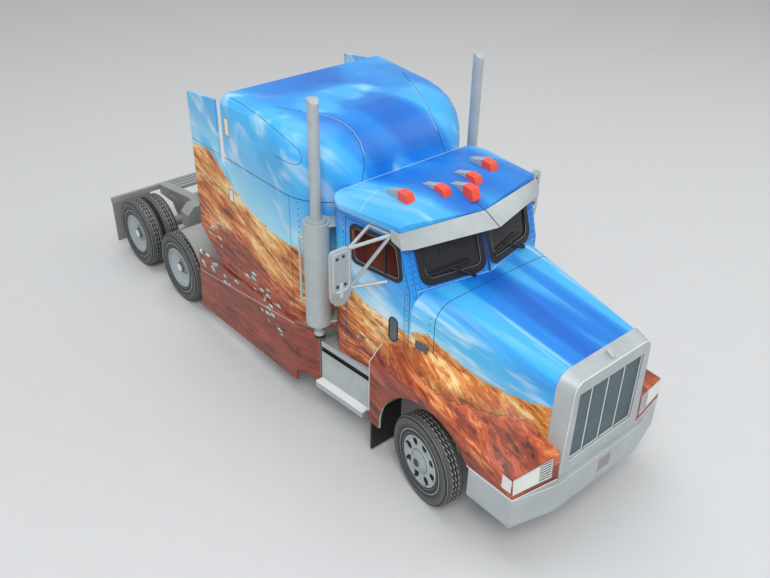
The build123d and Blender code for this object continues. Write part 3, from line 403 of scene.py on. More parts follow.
def clearPane():
    # the windows' film: the two windscreens look almost black, the side windows show the cabin
    material, shader, place, grain = newMaterial("clearPane", paneLook["grain"])
    grain = grain["Tint"]
    screen = (abs(splitAxes(place)[0]) < paneLook["screenHalf"]) * paneLook["screenExtra"]
    plug(shader, {"Base Color": ramp(grain, paneLook["shades"]), "IOR": paneLook["bend"],
                  "Roughness": spread(grain, 0.0, 1.0, *paneLook["gloss"]),
                  "Alpha": spread(grain, 0.0, 1.0, *paneLook["haze"]) + screen})
    return material


paneFilm = clearPane()


# pieces: made here or copied from the frame, then given a finish and a body
def addObject(name, data):
    made = bpy.data.objects.new(name, data)
    bpy.context.scene.collection.objects.link(made)
    return made


def toMesh(name, shape):
    mesh = bpy.data.meshes.new(name)
    shape.to_mesh(mesh)
    shape.free()
    return mesh


def newPiece(name, shape, materials, body="root", replaced=()):
    piece = addObject(name, toMesh(name, shape))
    for material in materials:
        piece.data.materials.append(material)
    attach(piece, body)
    if replaced:
        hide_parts(*replaced)
    return piece


def outerSkin(node, inner=None):
    # a copy of the CAD mesh; inner tells which faces look into the hollow and are left off
    shape = bmesh.new()
    shape.from_mesh(nodes[node].data)
    bmesh.ops.remove_doubles(shape, verts=shape.verts, dist=0.000004)
    if inner:
        hidden = [f for f in shape.faces if inner(f.calc_center_median(), f.normal)]
        bmesh.ops.delete(shape, geom=hidden, context="FACES")
    return shape


def softenShading(shape, angle=32):
    for face in shape.faces:
        face.smooth = True
    for edge in shape.edges:
        edge.smooth = len(edge.link_faces) == 2 and edge.calc_face_angle(0) < math.radians(angle)


def mirrored(low, high, finish):
    # the same box on the truck's other side
    return (-high[0], *low[1:]), (-low[0], *high[1:]), finish


def pair(*patch):
    return [patch, mirrored(*patch)]


# flush printed patches: opposite corners in millimetres, and the finish inside them
lampStripes = [((-34.6, -60, 40.6 + step * 1.25), (-29.3, -40, 41.2 + step * 1.25), "hubDark") for step in range(7)]
patches = {
    "bumper": [((-60, -60, 21), (60, -20, 23.6), "rimCard"), ((-0.8, -55, 26.8), (7.6, -53, 33.6), "plateCard")],
    "step_boxes": [((-52, 42, 36.2), (52, 77, 39.0), "blackCard"), ((-60, 42, 19.4), (60, 77, 20.02), "cutEdge")],
    "fenders": [*pair((-48.1, -47.2, 40.2), (-47.9, -42.4, 46.8), "lensWhite"),
                ((-49, -53, 36.9), (49, -20.5, 37.5), "cutEdge")],
    "sleeper_roof": [*pair((-50, 138.4, 124.5), (-49, 143, 134.5), "greyCard"),
                     *pair((-50, 139.2, 125.4), (-49, 142.2, 133.6), "lensWhite")],
    "sleeper_shell": [*pair((-50, 139.5, 90), (-49, 144, 97.5), "greyCard"),
                      *pair((-50, 140.3, 90.8), (-49, 143.2, 96.7), "lensWhite")],
    "headlamps": lampStripes + [mirrored(*stripe) for stripe in lampStripes],
    "exhaust_stacks": [((-60, 60, 45.2), (60, 110, 47.6), "blackCard")],
    "front_mud_flaps": [((-49, 34, 2.4), (49, 38, 3.0), "greyCard")],
}
unitAxes = [Vector(row) for row in Matrix.Identity(3)]


def crosses(face, axis, height):
    heights = [v.co[axis] for v in face.verts]
    return min(heights) < height < max(heights)


def printPatch(shape, low, high, index):
    # cut the faces along the patch's sides, then print what lies inside
    low, high = mm(*low), mm(*high)
    for axis, facing in enumerate(unitAxes):
        for point in (low, high):
            around = [f for f in shape.faces if crosses(f, axis, point[axis])]
            geom = {e for f in around for e in f.edges} | {v for f in around for v in f.verts}
            if around:
                bmesh.ops.bisect_plane(shape, geom=around + list(geom), dist=0.000001, plane_co=point,
                                       plane_no=facing)
    for face in shape.faces:
        middle = face.calc_center_median()
        if face.material_index != 1 and all(low[k] < middle[k] < high[k] for k in range(3)):
            face.material_index = index


def stretchIslands(shape, factor):
    # each loose part grows across the truck about its own middle
    left = set(shape.verts)
    while left:
        island, edge = set(), [left.pop()]
        while edge:
            vert = edge.pop()
            island.add(vert)
            fresh = [e.other_vert(vert) for e in vert.link_edges if e.other_vert(vert) in left]
            left.difference_update(fresh)
            edge += fresh
        middle = (min(v.co.x for v in island) + max(v.co.x for v in island)) / 2
        for vert in island:
            vert.co.x = middle + (vert.co.x - middle) * factor


# small fits: how far a piece swells in millimetres, and how its parts grow across the truck and along it
fits = {"mirror_arms": {"swell": 0.2}, "grille_bars": {"across": 0.58, "deep": 0.4},
        "grille_panels": {"across": 1.15}}


def fitByEye(shape, fit):
    if "across" in fit:
        stretchIslands(shape, fit["across"])
    if "deep" in fit:
        back = max(v.co.y for v in shape.verts)
        for vert in shape.verts:
            vert.co.y = back + (vert.co.y - back) * fit["deep"]
    if "swell" in fit:
        shape.normal_update()
        for vert in shape.verts:
            vert.co += vert.normal * fit["swell"] / 1000


def dressNode(node, materials, bevel=0.12, inner=None):
    # the CAD piece with soft folded edges; inner tells which faces look into the hollow
    shape = outerSkin(node)
    bmesh.ops.dissolve_limit(shape, angle_limit=math.radians(0.6), verts=shape.verts, edges=shape.edges)
    fitByEye(shape, fits.get(node, {}))
    materials = list(materials)
    if inner:
        for face in shape.faces:
            face.material_index = 1 if inner(face.calc_center_median(), face.normal) else 0
    elif node in patches:
        materials.append(materials[0])
    for low, high, finish in patches.get(node, []):
        if cards[finish] not in materials[2:]:
            materials.append(cards[finish])
        printPatch(shape, low, high, materials.index(cards[finish], 2))
    softenShading(shape)
    piece = newPiece(node + "_dressed", shape, materials, nodes[node]["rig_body"], [node])
    modifier = piece.modifiers.new("foldedEdges", "BEVEL")
    modifier.width = bevel / 1000
    modifier.segments = 2
    modifier.limit_method = "ANGLE"
    modifier.angle_limit = math.radians(40)
    modifier.harden_normals = False


def facesInward(*centre):
    middle = mm(*centre)
    return lambda place, normal: normal.dot(place - middle) < 0


def inFender(place, normal):
    side = 1 if place.x > 0 else -1
    return normal.dot(place - mm(side * 26, -2, 12)) < 0


def inFairing(place, normal):
    return normal.x * (1 if place.x > 0 else -1) < -0.5


# the tests for the inner faces of hollow pieces
hollows = {"cab_shell": facesInward(0, 47, 80), "cab_roof": facesInward(0, 45, 60), "hood": facesInward(0, -15, 40),
           "sleeper_shell": facesInward(0, 110, 95), "sleeper_roof": facesInward(0, 110, 90), "fenders": inFender}
# printed shells: the mural, the finish inside and the width of the folded edge
shells = {"cab_shell": ("cabMural", "cabinCard", 0.15), "cab_roof": ("roofMural", "cabinCard", 0.3),
          "hood": ("hoodMural", "insideCard", 0.15), "sleeper_shell": ("sleeperMural", "insideCard", 0.15),
          "sleeper_roof": ("sleeperMural", "insideCard", 0.2), "fenders": ("fenderMural", "insideCard", 0.15)}
for node, (mural, inside, bevel) in shells.items():
    dressNode(node, [murals[mural], cards[inside]], bevel, hollows[node])
dressNode("side_extenders", [murals["sleeperMural"]], 0.1)
dressNode("side_fairings", [murals["fairingMural"], cards["insideCard"]], 0.1, inFairing)
plainNodes = {
    "silverCard": ["bumper", "grille_surround", "grille_bars", "sun_visor", "exhaust_stacks", "exhaust_brackets",
                   "mirror_heads", "mirror_arms", "step_boxes", "marker_lamp_bases"],
    "greyCard": ["frame_rails", "fifth_wheel", "suspension_hangers", "front_axle_beam", "drive_axles",
                 "rear_flap_bar", "knuckle_right", "knuckle_left", "drive_mudguards"],
    "flapGrey": ["rear_mud_flaps"],
    "blackCard": ["window_frames", "front_mud_flaps", "wipers"],
    "grilleCard": ["grille_panels"],
    "redLens": ["marker_lamps"],
    "lensWhite": ["headlamps"],
    "cabinCard": ["dashboard", "cab_floor"],
    "seatCard": ["seats"],
}
for finish, members in plainNodes.items():
    for node in members:
        dressNode(node, [cards[finish]])
nodes["window_panes"].data.materials.clear()
nodes["window_panes"].data.materials.append(paneFilm)
print("main pieces dressed")


# thin ink lines, white cut edges and rivets that lie on the card
def trimTo(shape, point, outward):
    geom = shape.verts[:] + shape.edges[:] + shape.faces[:]
    if geom:
        bmesh.ops.bisect_plane(shape, geom=geom, dist=0.0000005, plane_co=point, plane_no=outward, clear_outer=True)


def addShape(gather, part):
    spare = toMesh("spare", part)
    gather.from_mesh(spare)
    bpy.data.meshes.remove(spare)


def aimed(place, direction):
    return Matrix.Translation(place) @ direction.to_track_quat("Z", "Y").to_matrix().to_4x4()


def addDisc(gather, disc, matrix):
    made = bmesh.ops.create_cone(gather, cap_ends=True, **disc)
    bmesh.ops.transform(gather, matrix=matrix, verts=made["verts"])


def printedLine(gather, skin, through, facing, half, low, high, lift):
    part = skin.copy()
    through, facing = mm(*through), Vector(facing).normalized()
    trimTo(part, through + facing * half / 1000, facing)
    trimTo(part, through - facing * half / 1000, -facing)
    for step in unitAxes:
        trimTo(part, mm(*high), step)
        trimTo(part, mm(*low), -step)
    if part.faces:
        part.normal_update()
        for vert in part.verts:
            vert.co += vert.normal * lift / 1000
        bmesh.ops.solidify(part, geom=part.faces[:], thickness=0.00004)
    addShape(gather, part)


def throughThree(a, b, c):
    a, b, c = mm(*a), mm(*b), mm(*c)
    return (b - a).cross(c - a).normalized()


skins = {node: outerSkin(node, hollows.get(node)) for node in (
    "cab_shell", "cab_roof", "hood", "sleeper_shell", "sleeper_roof", "fenders", "side_fairings", "side_extenders",
    "sun_visor", "grille_surround", "bumper")}
lifts = {"bumper": 0.01}
lean = (0, 1, -0.33)
foldFacing = (0, 0.138, 1)
browFacing = throughThree((-38.3, 116.7, 143.6), (-24.6, 87.6, 142.5), (-25.2, 71.4, 120.7))
# node, a point on the line, what it faces, half its width, the box it stays in, and its finish
seams = [
    ("cab_shell", (0, 23.4, 92), (0, 1, 0), 0.13, (-47, 20, 50), (-36, 30, 92), "inkLine"),
    ("cab_shell", (0, 23.4, 92), lean, 0.13, (-47, 20, 92), (-36, 40, 114.6), "inkLine"),
    ("cab_shell", (0, 25.9, 92), (0, 1, 0), 0.08, (-47, 20, 52), (-36, 30, 92), "inkLine"),
    ("cab_shell", (0, 58.8, 80), (0, 1, 0), 0.13, (-47, 50, 50), (-36, 70, 114.6), "inkLine"),
    ("cab_shell", (0, 66.5, 80), (0, 1, 0), 0.1, (-47, 60, 43), (-36, 70, 117), "inkLine"),
    ("cab_shell", (0, 0, 114.6), (0, 0, 1), 0.13, (-47, 30.8, 110), (-36, 58.8, 117), "inkLine"),
    ("cab_shell", (0, 0, 50), (0, 0, 1), 0.13, (-47, 38, 49), (-36, 58.8, 51), "inkLine"),
    ("cab_shell", (-36.2, 0, 92), (1, 0, 0), 0.11, (-40, 10, 88), (-30, 40, 116.8), "inkLine"),
    ("cab_shell", (-33.9, 0, 92), (1, 0, 0), 0.08, (-40, 10, 90), (-30, 40, 116.8), "inkLine"),
    ("cab_shell", (0, 0, 92.2), (0, 0, 1), 0.06, (-35.8, 10, 91), (0, 30, 93), "cutEdge"),
    ("cab_shell", (-0.35, 0, 92), (1, 0, 0), 0.3, (-1, 10, 92), (0.01, 40, 116.8), "inkLine"),
    ("hood", (0, 10.5, 0), (0, 1, 0), 0.14, (-40, 5, 50), (0.01, 12, 95), "inkLine"),
    ("cab_roof", (0, 0, 117.6), (0, 0, 1), 0.08, (-47, 29, 117), (-38, 71, 118), "inkLine"),
    ("cab_roof", (0, 70.8, 0), (0, 1, 0), 0.14, (-46, 70, 117), (0.01, 72, 126), "cutEdge"),
    ("cab_roof", (-0.1, 0, 0), (1, 0, 0), 0.07, (-1, 15, 117), (0.01, 26, 126), "inkLine"),
    ("sleeper_shell", (0, 0, 112.85), (0, 0, 1), 0.14, (-50, 70, 112), (0.01, 145, 113), "inkLine"),
    ("sleeper_shell", (-49, 92.2, 0), (0, 1, 0), 0.09, (-50, 91, 47), (-40, 94, 113), "inkLine"),
    ("sleeper_roof", (-24.6, 87.6, 142.5), browFacing, 0.12, (-39, 70, 113), (-20, 117, 145), "inkLine"),
    ("sleeper_roof", (-24.3, 87.8, 142.5), browFacing, 0.06, (-36, 72.2, 131), (-20, 104, 145), "cutEdge"),
    ("side_fairings", (-50, 183, 33), foldFacing, 0.11, (-51, 89, 30), (-50.2, 184.5, 50), "cutEdge"),
    ("side_extenders", (0, 0, 112.85), (0, 0, 1), 0.12, (-50, 145, 112), (-49, 177, 114), "inkLine"),
    ("sun_visor", (-0.12, 0, 0), (1, 0, 0), 0.12, (-1, 10, 110), (0.01, 30, 120), "inkLine"),
    ("fenders", (0, 37.5, 0), (0, 1, 0), 0.18, (-49, 37, 25), (-36, 38, 68), "cutEdge"),
    ("bumper", (0, 0, 36.6), (0, 0, 1), 0.12, (-60, -60, 30), (0.01, -20, 40), "cutEdge"),
    ("grille_surround", (0, -52.2, 0), (0, 1, 0), 0.14, (-40, -52.45, 38), (0.01, -51.9, 84), "cutEdge"),
]
gathered = {finish: bmesh.new() for finish in ("inkLine", "cutEdge")}
for node, (px, py, pz), (fx, fy, fz), half, *patch in seams:
    for side, (low, high, finish) in zip((1, -1), pair(*patch)):
        printedLine(gathered[finish], skins[node], (px * side, py, pz), (fx * side, fy, fz), half, low, high,
                    lifts.get(node, 0.05))

# rows of rivets: the node, both ends of the row in front of the surface, the way they are pressed in, their gap
rivet = {"segments": 8, "radius1": 0.00036, "radius2": 0.0002, "depth": 0.00018}
rivetRows = [
    ("cab_shell", (-60, 24.6, 54), (-60, 24.6, 91), (1, 0, 0), 2.7),
    ("cab_shell", (-60, 25.2, 94), (-60, 31.9, 113), (1, 0, 0), 2.7),
    ("cab_shell", (-37.3, 0, 90), (-37.3, 0, 116), (0, 1, 0), 2.7),
    ("cab_shell", (-35.1, 0, 93), (-35.1, 0, 116), (0, 1, 0), 2.7),
    ("cab_shell", (-33, 0, 92.9), (-3, 0, 92.9), (0, 1, 0), 2.9),
    ("cab_shell", (-60, 60.2, 54), (-60, 60.2, 113), (1, 0, 0), 3.0),
    ("sleeper_shell", (-60, 87.3, 58), (-60, 87.3, 111), (1, 0, 0), 3.0),
    ("hood", (-60, 13.0, 66), (-60, 13.0, 84), (1, 0, 0), 2.8),
]
rivets = bmesh.new()
for node, start, end, press, gap in rivetRows:
    surface = BVHTree.FromBMesh(skins[node])
    for side in (1, -1):
        first, last = mm(start[0] * side, *start[1:]), mm(end[0] * side, *end[1:])
        inwards = Vector((press[0] * side, *press[1:]))
        count = round((last - first).length * 1000 / gap)
        for i in range(count + 1):
            hit, normal, _, _ = surface.ray_cast(first.lerp(last, i / count), inwards)
            if hit is not None:
                addDisc(rivets, rivet, aimed(hit + normal * 0.00005, normal))
newPiece("seamInk", gathered["inkLine"], [cards["inkLine"]])
newPiece("whiteCutEdges", gathered["cutEdge"], [cards["cutEdge"]])
newPiece("rivetHeads", rivets, [cards["rivetInk"]])
for skin in skins.values():
    skin.free()
print("seams and rivets laid")


# threads: thin raised lines along a path of points
def thread(gather, points, radius, closed=False):
    curve = bpy.data.curves.new("thread", "CURVE")
    curve.dimensions = "3D"
    curve.bevel_depth = radius / 1000
    curve.bevel_resolution = 1
    curve.use_fill_caps = not closed
    line = curve.splines.new("POLY")
    line.points.add(len(points) - 1)
    for knot, place in zip(line.points, points):
        knot.co = (*place, 1)
    line.use_cyclic_u = closed
    holder = bpy.data.objects.new("thread", curve)
    mesh = bpy.data.meshes.new_from_object(holder)
    gather.from_mesh(mesh)
    bpy.data.meshes.remove(mesh)
    bpy.data.objects.remove(holder)
    bpy.data.curves.remove(curve)


def roundedOutline(points, radius):
    # a flat outline with rounded corners, as (across, height) pairs in order
    shape = bmesh.new()
    verts = [shape.verts.new((a / 1000, b / 1000, 0)) for a, b in points]
    shape.faces.new(verts)
    bmesh.ops.bevel(shape, geom=verts, offset=radius / 1000, segments=4, profile=0.5, affect="VERTICES", material=-1)
    shape.faces.ensure_lookup_table()
    outline = [(v.co.x * 1000, v.co.y * 1000) for v in shape.faces[0].verts]
    shape.free()
    return outline


# the cab's planes, as the source has them
cab = {"half": 45.5, "taper": 0.14815, "rear": 71.0, "nose": 14.8, "sweep": 0.1984, "lean": 0.33, "belt": 92.0}


def onCabSide(y, z, off):
    return mm(-(cab["half"] - cab["taper"] * (cab["rear"] - y) + off), y, z)


def onScreen(x, z, off):
    return mm(x, cab["nose"] + cab["sweep"] * abs(x) + cab["lean"] * (z - cab["belt"]) - off * 1.05, z)


def bothSides(shape):
    bmesh.ops.mirror(shape, geom=shape.verts[:] + shape.edges[:] + shape.faces[:], merge_dist=-1, axis="X")
    bmesh.ops.recalc_face_normals(shape, faces=shape.faces)
    return shape


def barBetween(gather, start, end, width, depth):
    # a thin flat bar between two points
    span = end - start
    made = bmesh.ops.create_cube(gather, size=1.0)
    matrix = aimed((start + end) / 2, span) @ Matrix.Diagonal((width / 1000, depth / 1000, span.length, 1))
    bmesh.ops.transform(gather, matrix=matrix, verts=made["verts"])
    edges = list({e for v in made["verts"] for e in v.link_edges})
    bmesh.ops.bevel(gather, geom=edges, offset=min(width, depth) / 5000, segments=1, profile=0.5, affect="EDGES",
                    material=-1)


def roundPath(onto, outline, corner, off):
    # an outline with round corners, laid on the cab's side or a windscreen
    return [onto(a, z, off) for a, z in roundedOutline(outline, corner)]


def addTrim(name, finish, lines=(), bars=(), onBoth=True):
    # lines are (points, radius) or (points, radius, closed), bars are (start, end, width, depth)
    shape = bmesh.new()
    for line in lines:
        thread(shape, *line)
    for bar in bars:
        barBetween(shape, *bar)
    newPiece(name, bothSides(shape) if onBoth else shape, [cards[finish]])


windowTrim = {"side": [(28.6, 96.2), (31.2, 111.4), (54.5, 111.4), (53.6, 96.2)], "sideCorner": 2.6,
              "screen": [(-4.0, 96.3), (-4.0, 114.8), (-31.2, 114.8), (-30.2, 96.3)], "screenCorner": 2.8,
              "off": 0.42, "radius": 0.08, "vent": [(36.4, 95.6), (37.0, 111.8)], "ventSize": (1.1, 0.7)}
glints = [roundPath(onto, windowTrim[part], windowTrim[part + "Corner"], windowTrim["off"])
          for part, onto in (("side", onCabSide), ("screen", onScreen))]
ventEnds = [onCabSide(y, z, 0.0) for y, z in windowTrim["vent"]]
addTrim("windowGlint", "greyCard", [(path, windowTrim["radius"], True) for path in glints])
addTrim("ventBars", "blackCard", bars=[(*ventEnds, *windowTrim["ventSize"])])

# grille, lamp and mirror trim
grille = {"panels": 4, "first": -20.4, "pitch": 10.3, "face": -51.05, "top": 77.6, "bottom": 43.9, "corner": 0.3,
          "radius": 0.16}
grilleLines = []
for i in range(grille["panels"]):
    left = grille["first"] + i * grille["pitch"] + (0.0 if i == 0 else 0.75)
    right = grille["first"] + (i + 1) * grille["pitch"] - (0.2 if i == grille["panels"] - 1 else 0.95)
    bottom, corner = grille["bottom"], grille["corner"]
    turns = ((right, grille["top"]), (right, bottom + corner), (right - corner, bottom), (left, bottom))
    grilleLines.append(([mm(x, grille["face"], z) for x, z in turns], grille["radius"]))
addTrim("grilleTrim", "cutEdge", grilleLines, onBoth=False)
lampLines = [((-47.9, -47.7, 47.3), (-28.8, -50.75, 49.2), 0.22), ((-28.9, -50.9, 49.2), (-28.9, -51.3, 39.8), 0.2),
             ((-34.9, -50.1, 48.4), (-34.9, -50.4, 39.8), 0.16), ((-47.8, -48.0, 39.8), (-28.9, -51.3, 39.8), 0.2)]
addTrim("lampTrim", "silverCard", [([mm(*a), mm(*b)], radius) for a, b, radius in lampLines])
mirror = {"outline": [(-62.2, 91.6), (-62.2, 109.4), (-54.0, 109.4), (-54.0, 91.6)], "corner": 1.0, "face": 43.3,
          "rim": 0.24, "holes": [(-60.2, 107.0), (-57.0, 107.4), (-60.2, 93.9), (-56.2, 93.9)],
          "hole": {"segments": 12, "radius1": 0.0008, "radius2": 0.0007, "depth": 0.0003},
          "clips": [((-58.2, 88.0), (-58.2, 95.0), 1.5), ((-61.0, 91.2), (-55.2, 91.2), 0.8)], "clipDepth": 0.5}


def onMirror(x, z, off):
    return mm(x, mirror["face"] + off, z)


clips = [(onMirror(*a, 0), onMirror(*b, 0), width, mirror["clipDepth"]) for a, b, width in mirror["clips"]]
rimPath = roundPath(onMirror, mirror["outline"], mirror["corner"], 0.05)
addTrim("mirrorTrim", "edgeSilver", [(rimPath, mirror["rim"], True)], clips)
holes = bmesh.new()
for x, z in mirror["holes"]:
    addDisc(holes, mirror["hole"], Matrix.Translation(onMirror(x, z, 0)) @ Matrix.Rotation(math.pi / 2, 4, "X"))
newPiece("mirrorHoles", bothSides(holes), [cards["hubDark"]])

# a small oval window low in each door, the doors' handles, and a raised blank plate on the cowl
door = {"peep": [(29.2, 63.9), (29.2, 76.2), (33.9, 76.2), (33.9, 63.9)], "corner": 2.25, "glass": 0.00012,
        "ring": 0.22, "handle": [(52.0, 86.0), (56.5, 86.0)], "handleSize": (1.0, 0.6)}
cowl = {"plate": [(-37.65, 16.2, 65.5), (-37.65, 16.2, 70.5)], "size": (0.4, 7.2)}
peep = bmesh.new()
face = peep.faces.new([peep.verts.new(place) for place in roundPath(onCabSide, door["peep"], door["corner"], 0.03)])
bmesh.ops.solidify(peep, geom=[face], thickness=-door["glass"])
newPiece("peepPanes", bothSides(peep), [cards["peepCard"]])
ringPath = roundPath(onCabSide, door["peep"], door["corner"], 0.15)
handleEnds = [onCabSide(y, z, 0.25) for y, z in door["handle"]]
addTrim("peepRings", "blackCard", [(ringPath, door["ring"], True)])
addTrim("doorHandles", "silverCard", bars=[(*handleEnds, *door["handleSize"])])
addTrim("cowlPlates", "grilleCard", bars=[(*[mm(*corner) for corner in cowl["plate"]], *cowl["size"])])

# folds that lie on the sleeper's sides, as (y, z), and on the cab's roof, as (x, y), in millimetres
creaseLine = [(140.4, 143.3), (129.2, 142.6), (118, 141.7), (101.4, 139.4), (92.8, 137), (88.5, 134.9),
              (85.9, 132.3), (85.9, 130.4), (87.2, 128.9), (90.4, 128.6), (94.6, 128.9), (101.3, 129.2)]
roofLine = [(43.3, 50.2), (42.4, 50.8), (40.6, 52.1), (35.6, 54.6), (31.8, 56.1), (27, 57.5)]


def layOn(node, marks, press, start, steps=6):
    # marks are pairs; start turns a pair into a point in front of the surface, and press is the way it is pushed
    side = outerSkin(node, hollows[node])
    surface = BVHTree.FromBMesh(side)
    side.free()
    pairs = [Vector(a).lerp(Vector(b), i / steps) for a, b in zip(marks, marks[1:]) for i in range(steps)]
    spots = [surface.ray_cast(start(*spot), Vector(press))[0] for spot in [*pairs, Vector(marks[-1])]]
    return [spot for spot in spots if spot is not None]


creasePath = layOn("sleeper_roof", creaseLine, (1, 0, 0), lambda y, z: mm(-60, y, z))
foldPath = layOn("cab_roof", roofLine, (0, 0, -1), lambda x, y: mm(-x, y, 140))
addTrim("sleeperCreases", "inkLine", [(creasePath, 0.11)])
addTrim("roofFolds", "edgeSilver", [(foldPath, 0.08)])
print("trim laid")

# tyres: ribs and grooves spun round the axle, with printed light lines; sizes in millimetres
tyre = {"radius": 21.0, "width": 9.0, "bead": 12.05, "shoulder": 1.6, "grooveDepth": 0.25, "grooves": (3.1, 4.6, 6.1),
        "grooveHalf": 0.2, "steps": 96, "twinGap": 1.6,
        # the print on the tread: zigzags in the grooves, lines along the ribs and rows of ticks
        "treadFrom": 20.2, "zigzags": 44, "zigDeep": 1.1, "zigHalf": 0.15, "ribLines": (1.9, 2.6, 3.9),
        "ribHalf": 0.07, "ticks": 160, "tickBand": (2.7, 3.8), "tickInk": 0.16,
        # rings on the tyre's wall: radius, half width and strength
        "wallRings": ((15.0, 0.15, 0.95), (16.6, 0.07, 0.3), (17.6, 0.09, 0.5), (18.4, 0.09, 0.55),
                      (19.2, 0.09, 0.6), (12.9, 0.1, 0.35))}


def near(value, middle, half):
    return abs(value - middle) < half


def fromWheel(place, centre, turn):
    # the place as the wheel has it: how far along the axle, out from it in millimetres, and round it
    own = addNode(place.tree, "ShaderNodeMapping", {"vector_type": "TEXTURE"}, Vector=place, Location=centre,
                  Rotation=(0, 0, turn))
    x, y, z = splitAxes(Wire(own.outputs[0]))
    radius = calc("SQRT", calc("POWER", y, 2.0) + calc("POWER", z, 2.0)) * 1000.0
    return x, radius, calc("ARCTAN2", z, y)


def tyreLines(name, centre, turn, outward):
    # outward is -1 for a wheel on the truck's right; the print is worked out from the wheel's own middle
    material, shader, place, grain = newMaterial(name)
    x, radius, angle = fromWheel(place, centre, turn)
    across = calc("WRAP", x * (-outward * 1000.0), tyre["width"] + tyre["twinGap"], 0.0)
    onTread = radius > tyre["treadFrom"]
    turns = angle * (tyre["zigzags"] / math.tau)
    zig = calc("PINGPONG", turns, 0.5) - 0.25
    dash = (calc("FRACT", turns) < 0.6) * 0.5 + 0.4
    marks = 0.0
    for middle in tyre["grooves"]:
        marks = calc("MAXIMUM", marks, near(across, zig * tyre["zigDeep"] + middle, tyre["zigHalf"]) * dash)
    fromMiddle = abs(across - tyre["width"] / 2)
    for offset in tyre["ribLines"]:
        marks = calc("MAXIMUM", marks, near(fromMiddle, offset, tyre["ribHalf"]) * 0.5)
    ticks = calc("FRACT", angle * (tyre["ticks"] / math.tau) + fromMiddle) < 0.4
    ticks = ticks * (fromMiddle > tyre["tickBand"][0]) * (fromMiddle < tyre["tickBand"][1])
    marks = calc("MAXIMUM", marks, ticks * tyre["tickInk"]) * onTread
    for ring, half, strength in tyre["wallRings"]:
        marks = calc("MAXIMUM", marks, near(radius, ring, half) * (1.0 - onTread) * strength)
    rubber = ramp(grain["Tint"], [(0.3, "#1f2425"), (0.7, "#33393b")])
    paperSurface(shader, blend(marks, rubber, "#c9c8c2"), grain, (0.45, 0.62), 0.2)
    return material


# printed rims: pale and dark rings, and painted shade in the hand holes and the hub's bore; each ring has a radius,
# half its width and a strength, and is dark where that is below nought
rimLooks = {"front": {"holes": 8, "holeRing": 9.3, "holeTall": 2.1, "holeWide": 1.7, "hub": 1.3, "hubFace": 5.9,
                      "rings": ((5.75, 0.16, -0.6), (2.05, 0.2, 0.7))},
            "twin": {"hubFace": 4.1, "rings": ((11.5, 0.1, -0.4), (4.4, 0.3, -0.75), (2.7, 0.45, -0.75),
                                               (1.2, 1.2, 0.85))}}


def rimPrintAndShade(name, centre, turn, look):
    material, shader, place, grain = newMaterial(name)
    _, radius, angle = fromWheel(place, centre, turn)
    colour = ramp(grain["Tint"], [(0.36, "#98a3a8"), (0.64, "#bfc8cb")])
    colour = blend((radius < look["hubFace"]) * 0.35, colour, "#77868e")
    for ring, half, strength in look["rings"]:
        colour = blend(near(radius, ring, half) * abs(strength), colour, "#f0f2f2" if strength > 0 else "#30363a")
    # painted shade: the hand holes and the middle over the hub's bore are darkened, standing for the shade in these
    # openings
    if "holes" in look:
        step = math.tau / look["holes"]
        across = calc("WRAP", angle - step * 0.33, step / 2, -step / 2) * radius / look["holeWide"]
        out = (radius - look["holeRing"]) / look["holeTall"]
        colour = blend(spread(across * across + out * out, 1.05, 0.9), colour, "#33393c")
        colour = blend(radius < look["hub"], colour, "#2b3032")
    paperSurface(shader, colour, grain, (0.38, 0.52), 0.2, {"Metallic": 0.1})
    return material


def tyreProfile():
    width, shoulder, top, bead = tyre["width"], tyre["shoulder"], tyre["radius"], tyre["bead"]
    half, deep = tyre["grooveHalf"], tyre["grooveDepth"]
    points = [(0.6, bead), (0.0, bead + 1.5), (0.0, 14.7), (0.12, 14.9), (0.12, 15.3), (0.0, 15.5),
              (0.0, top - shoulder), (shoulder * 0.25, top - shoulder * 0.35), (shoulder * 0.7, top)]
    for middle in tyre["grooves"]:
        points += [(middle - half, top), (middle - half + 0.05, top - deep), (middle + half - 0.05, top - deep),
                   (middle + half, top)]
    points += [(width - shoulder * 0.7, top), (width - shoulder * 0.25, top - shoulder * 0.35),
               (width, top - shoulder), (width, bead + 1.5), (width - 0.6, bead)]
    return points


def spunRing(points, steps):
    # profile points are (in from the outer face, out from the axle) in millimetres, spun round X
    shape = bmesh.new()
    verts = [shape.verts.new((across / 1000, 0, radius / 1000)) for across, radius in points]
    edges = [shape.edges.new((verts[i], verts[(i + 1) % len(verts)])) for i in range(len(verts))]
    bmesh.ops.spin(shape, geom=verts + edges, cent=(0, 0, 0), axis=(1, 0, 0), angle=math.tau, steps=steps,
                   use_merge=True, use_duplicate=False)
    bmesh.ops.remove_doubles(shape, verts=shape.verts, dist=0.000002)
    return shape


def setOnAxle(shape, face, turn, outward):
    # from its own X axis, with the outer face at nought, to the wheel's place
    matrix = Matrix.Translation(face) @ Matrix.Rotation(turn, 4, "Z") @ Matrix.Scale(-outward, 4, (1, 0, 0))
    bmesh.ops.transform(shape, matrix=matrix, verts=shape.verts)
    bmesh.ops.recalc_face_normals(shape, faces=shape.faces)
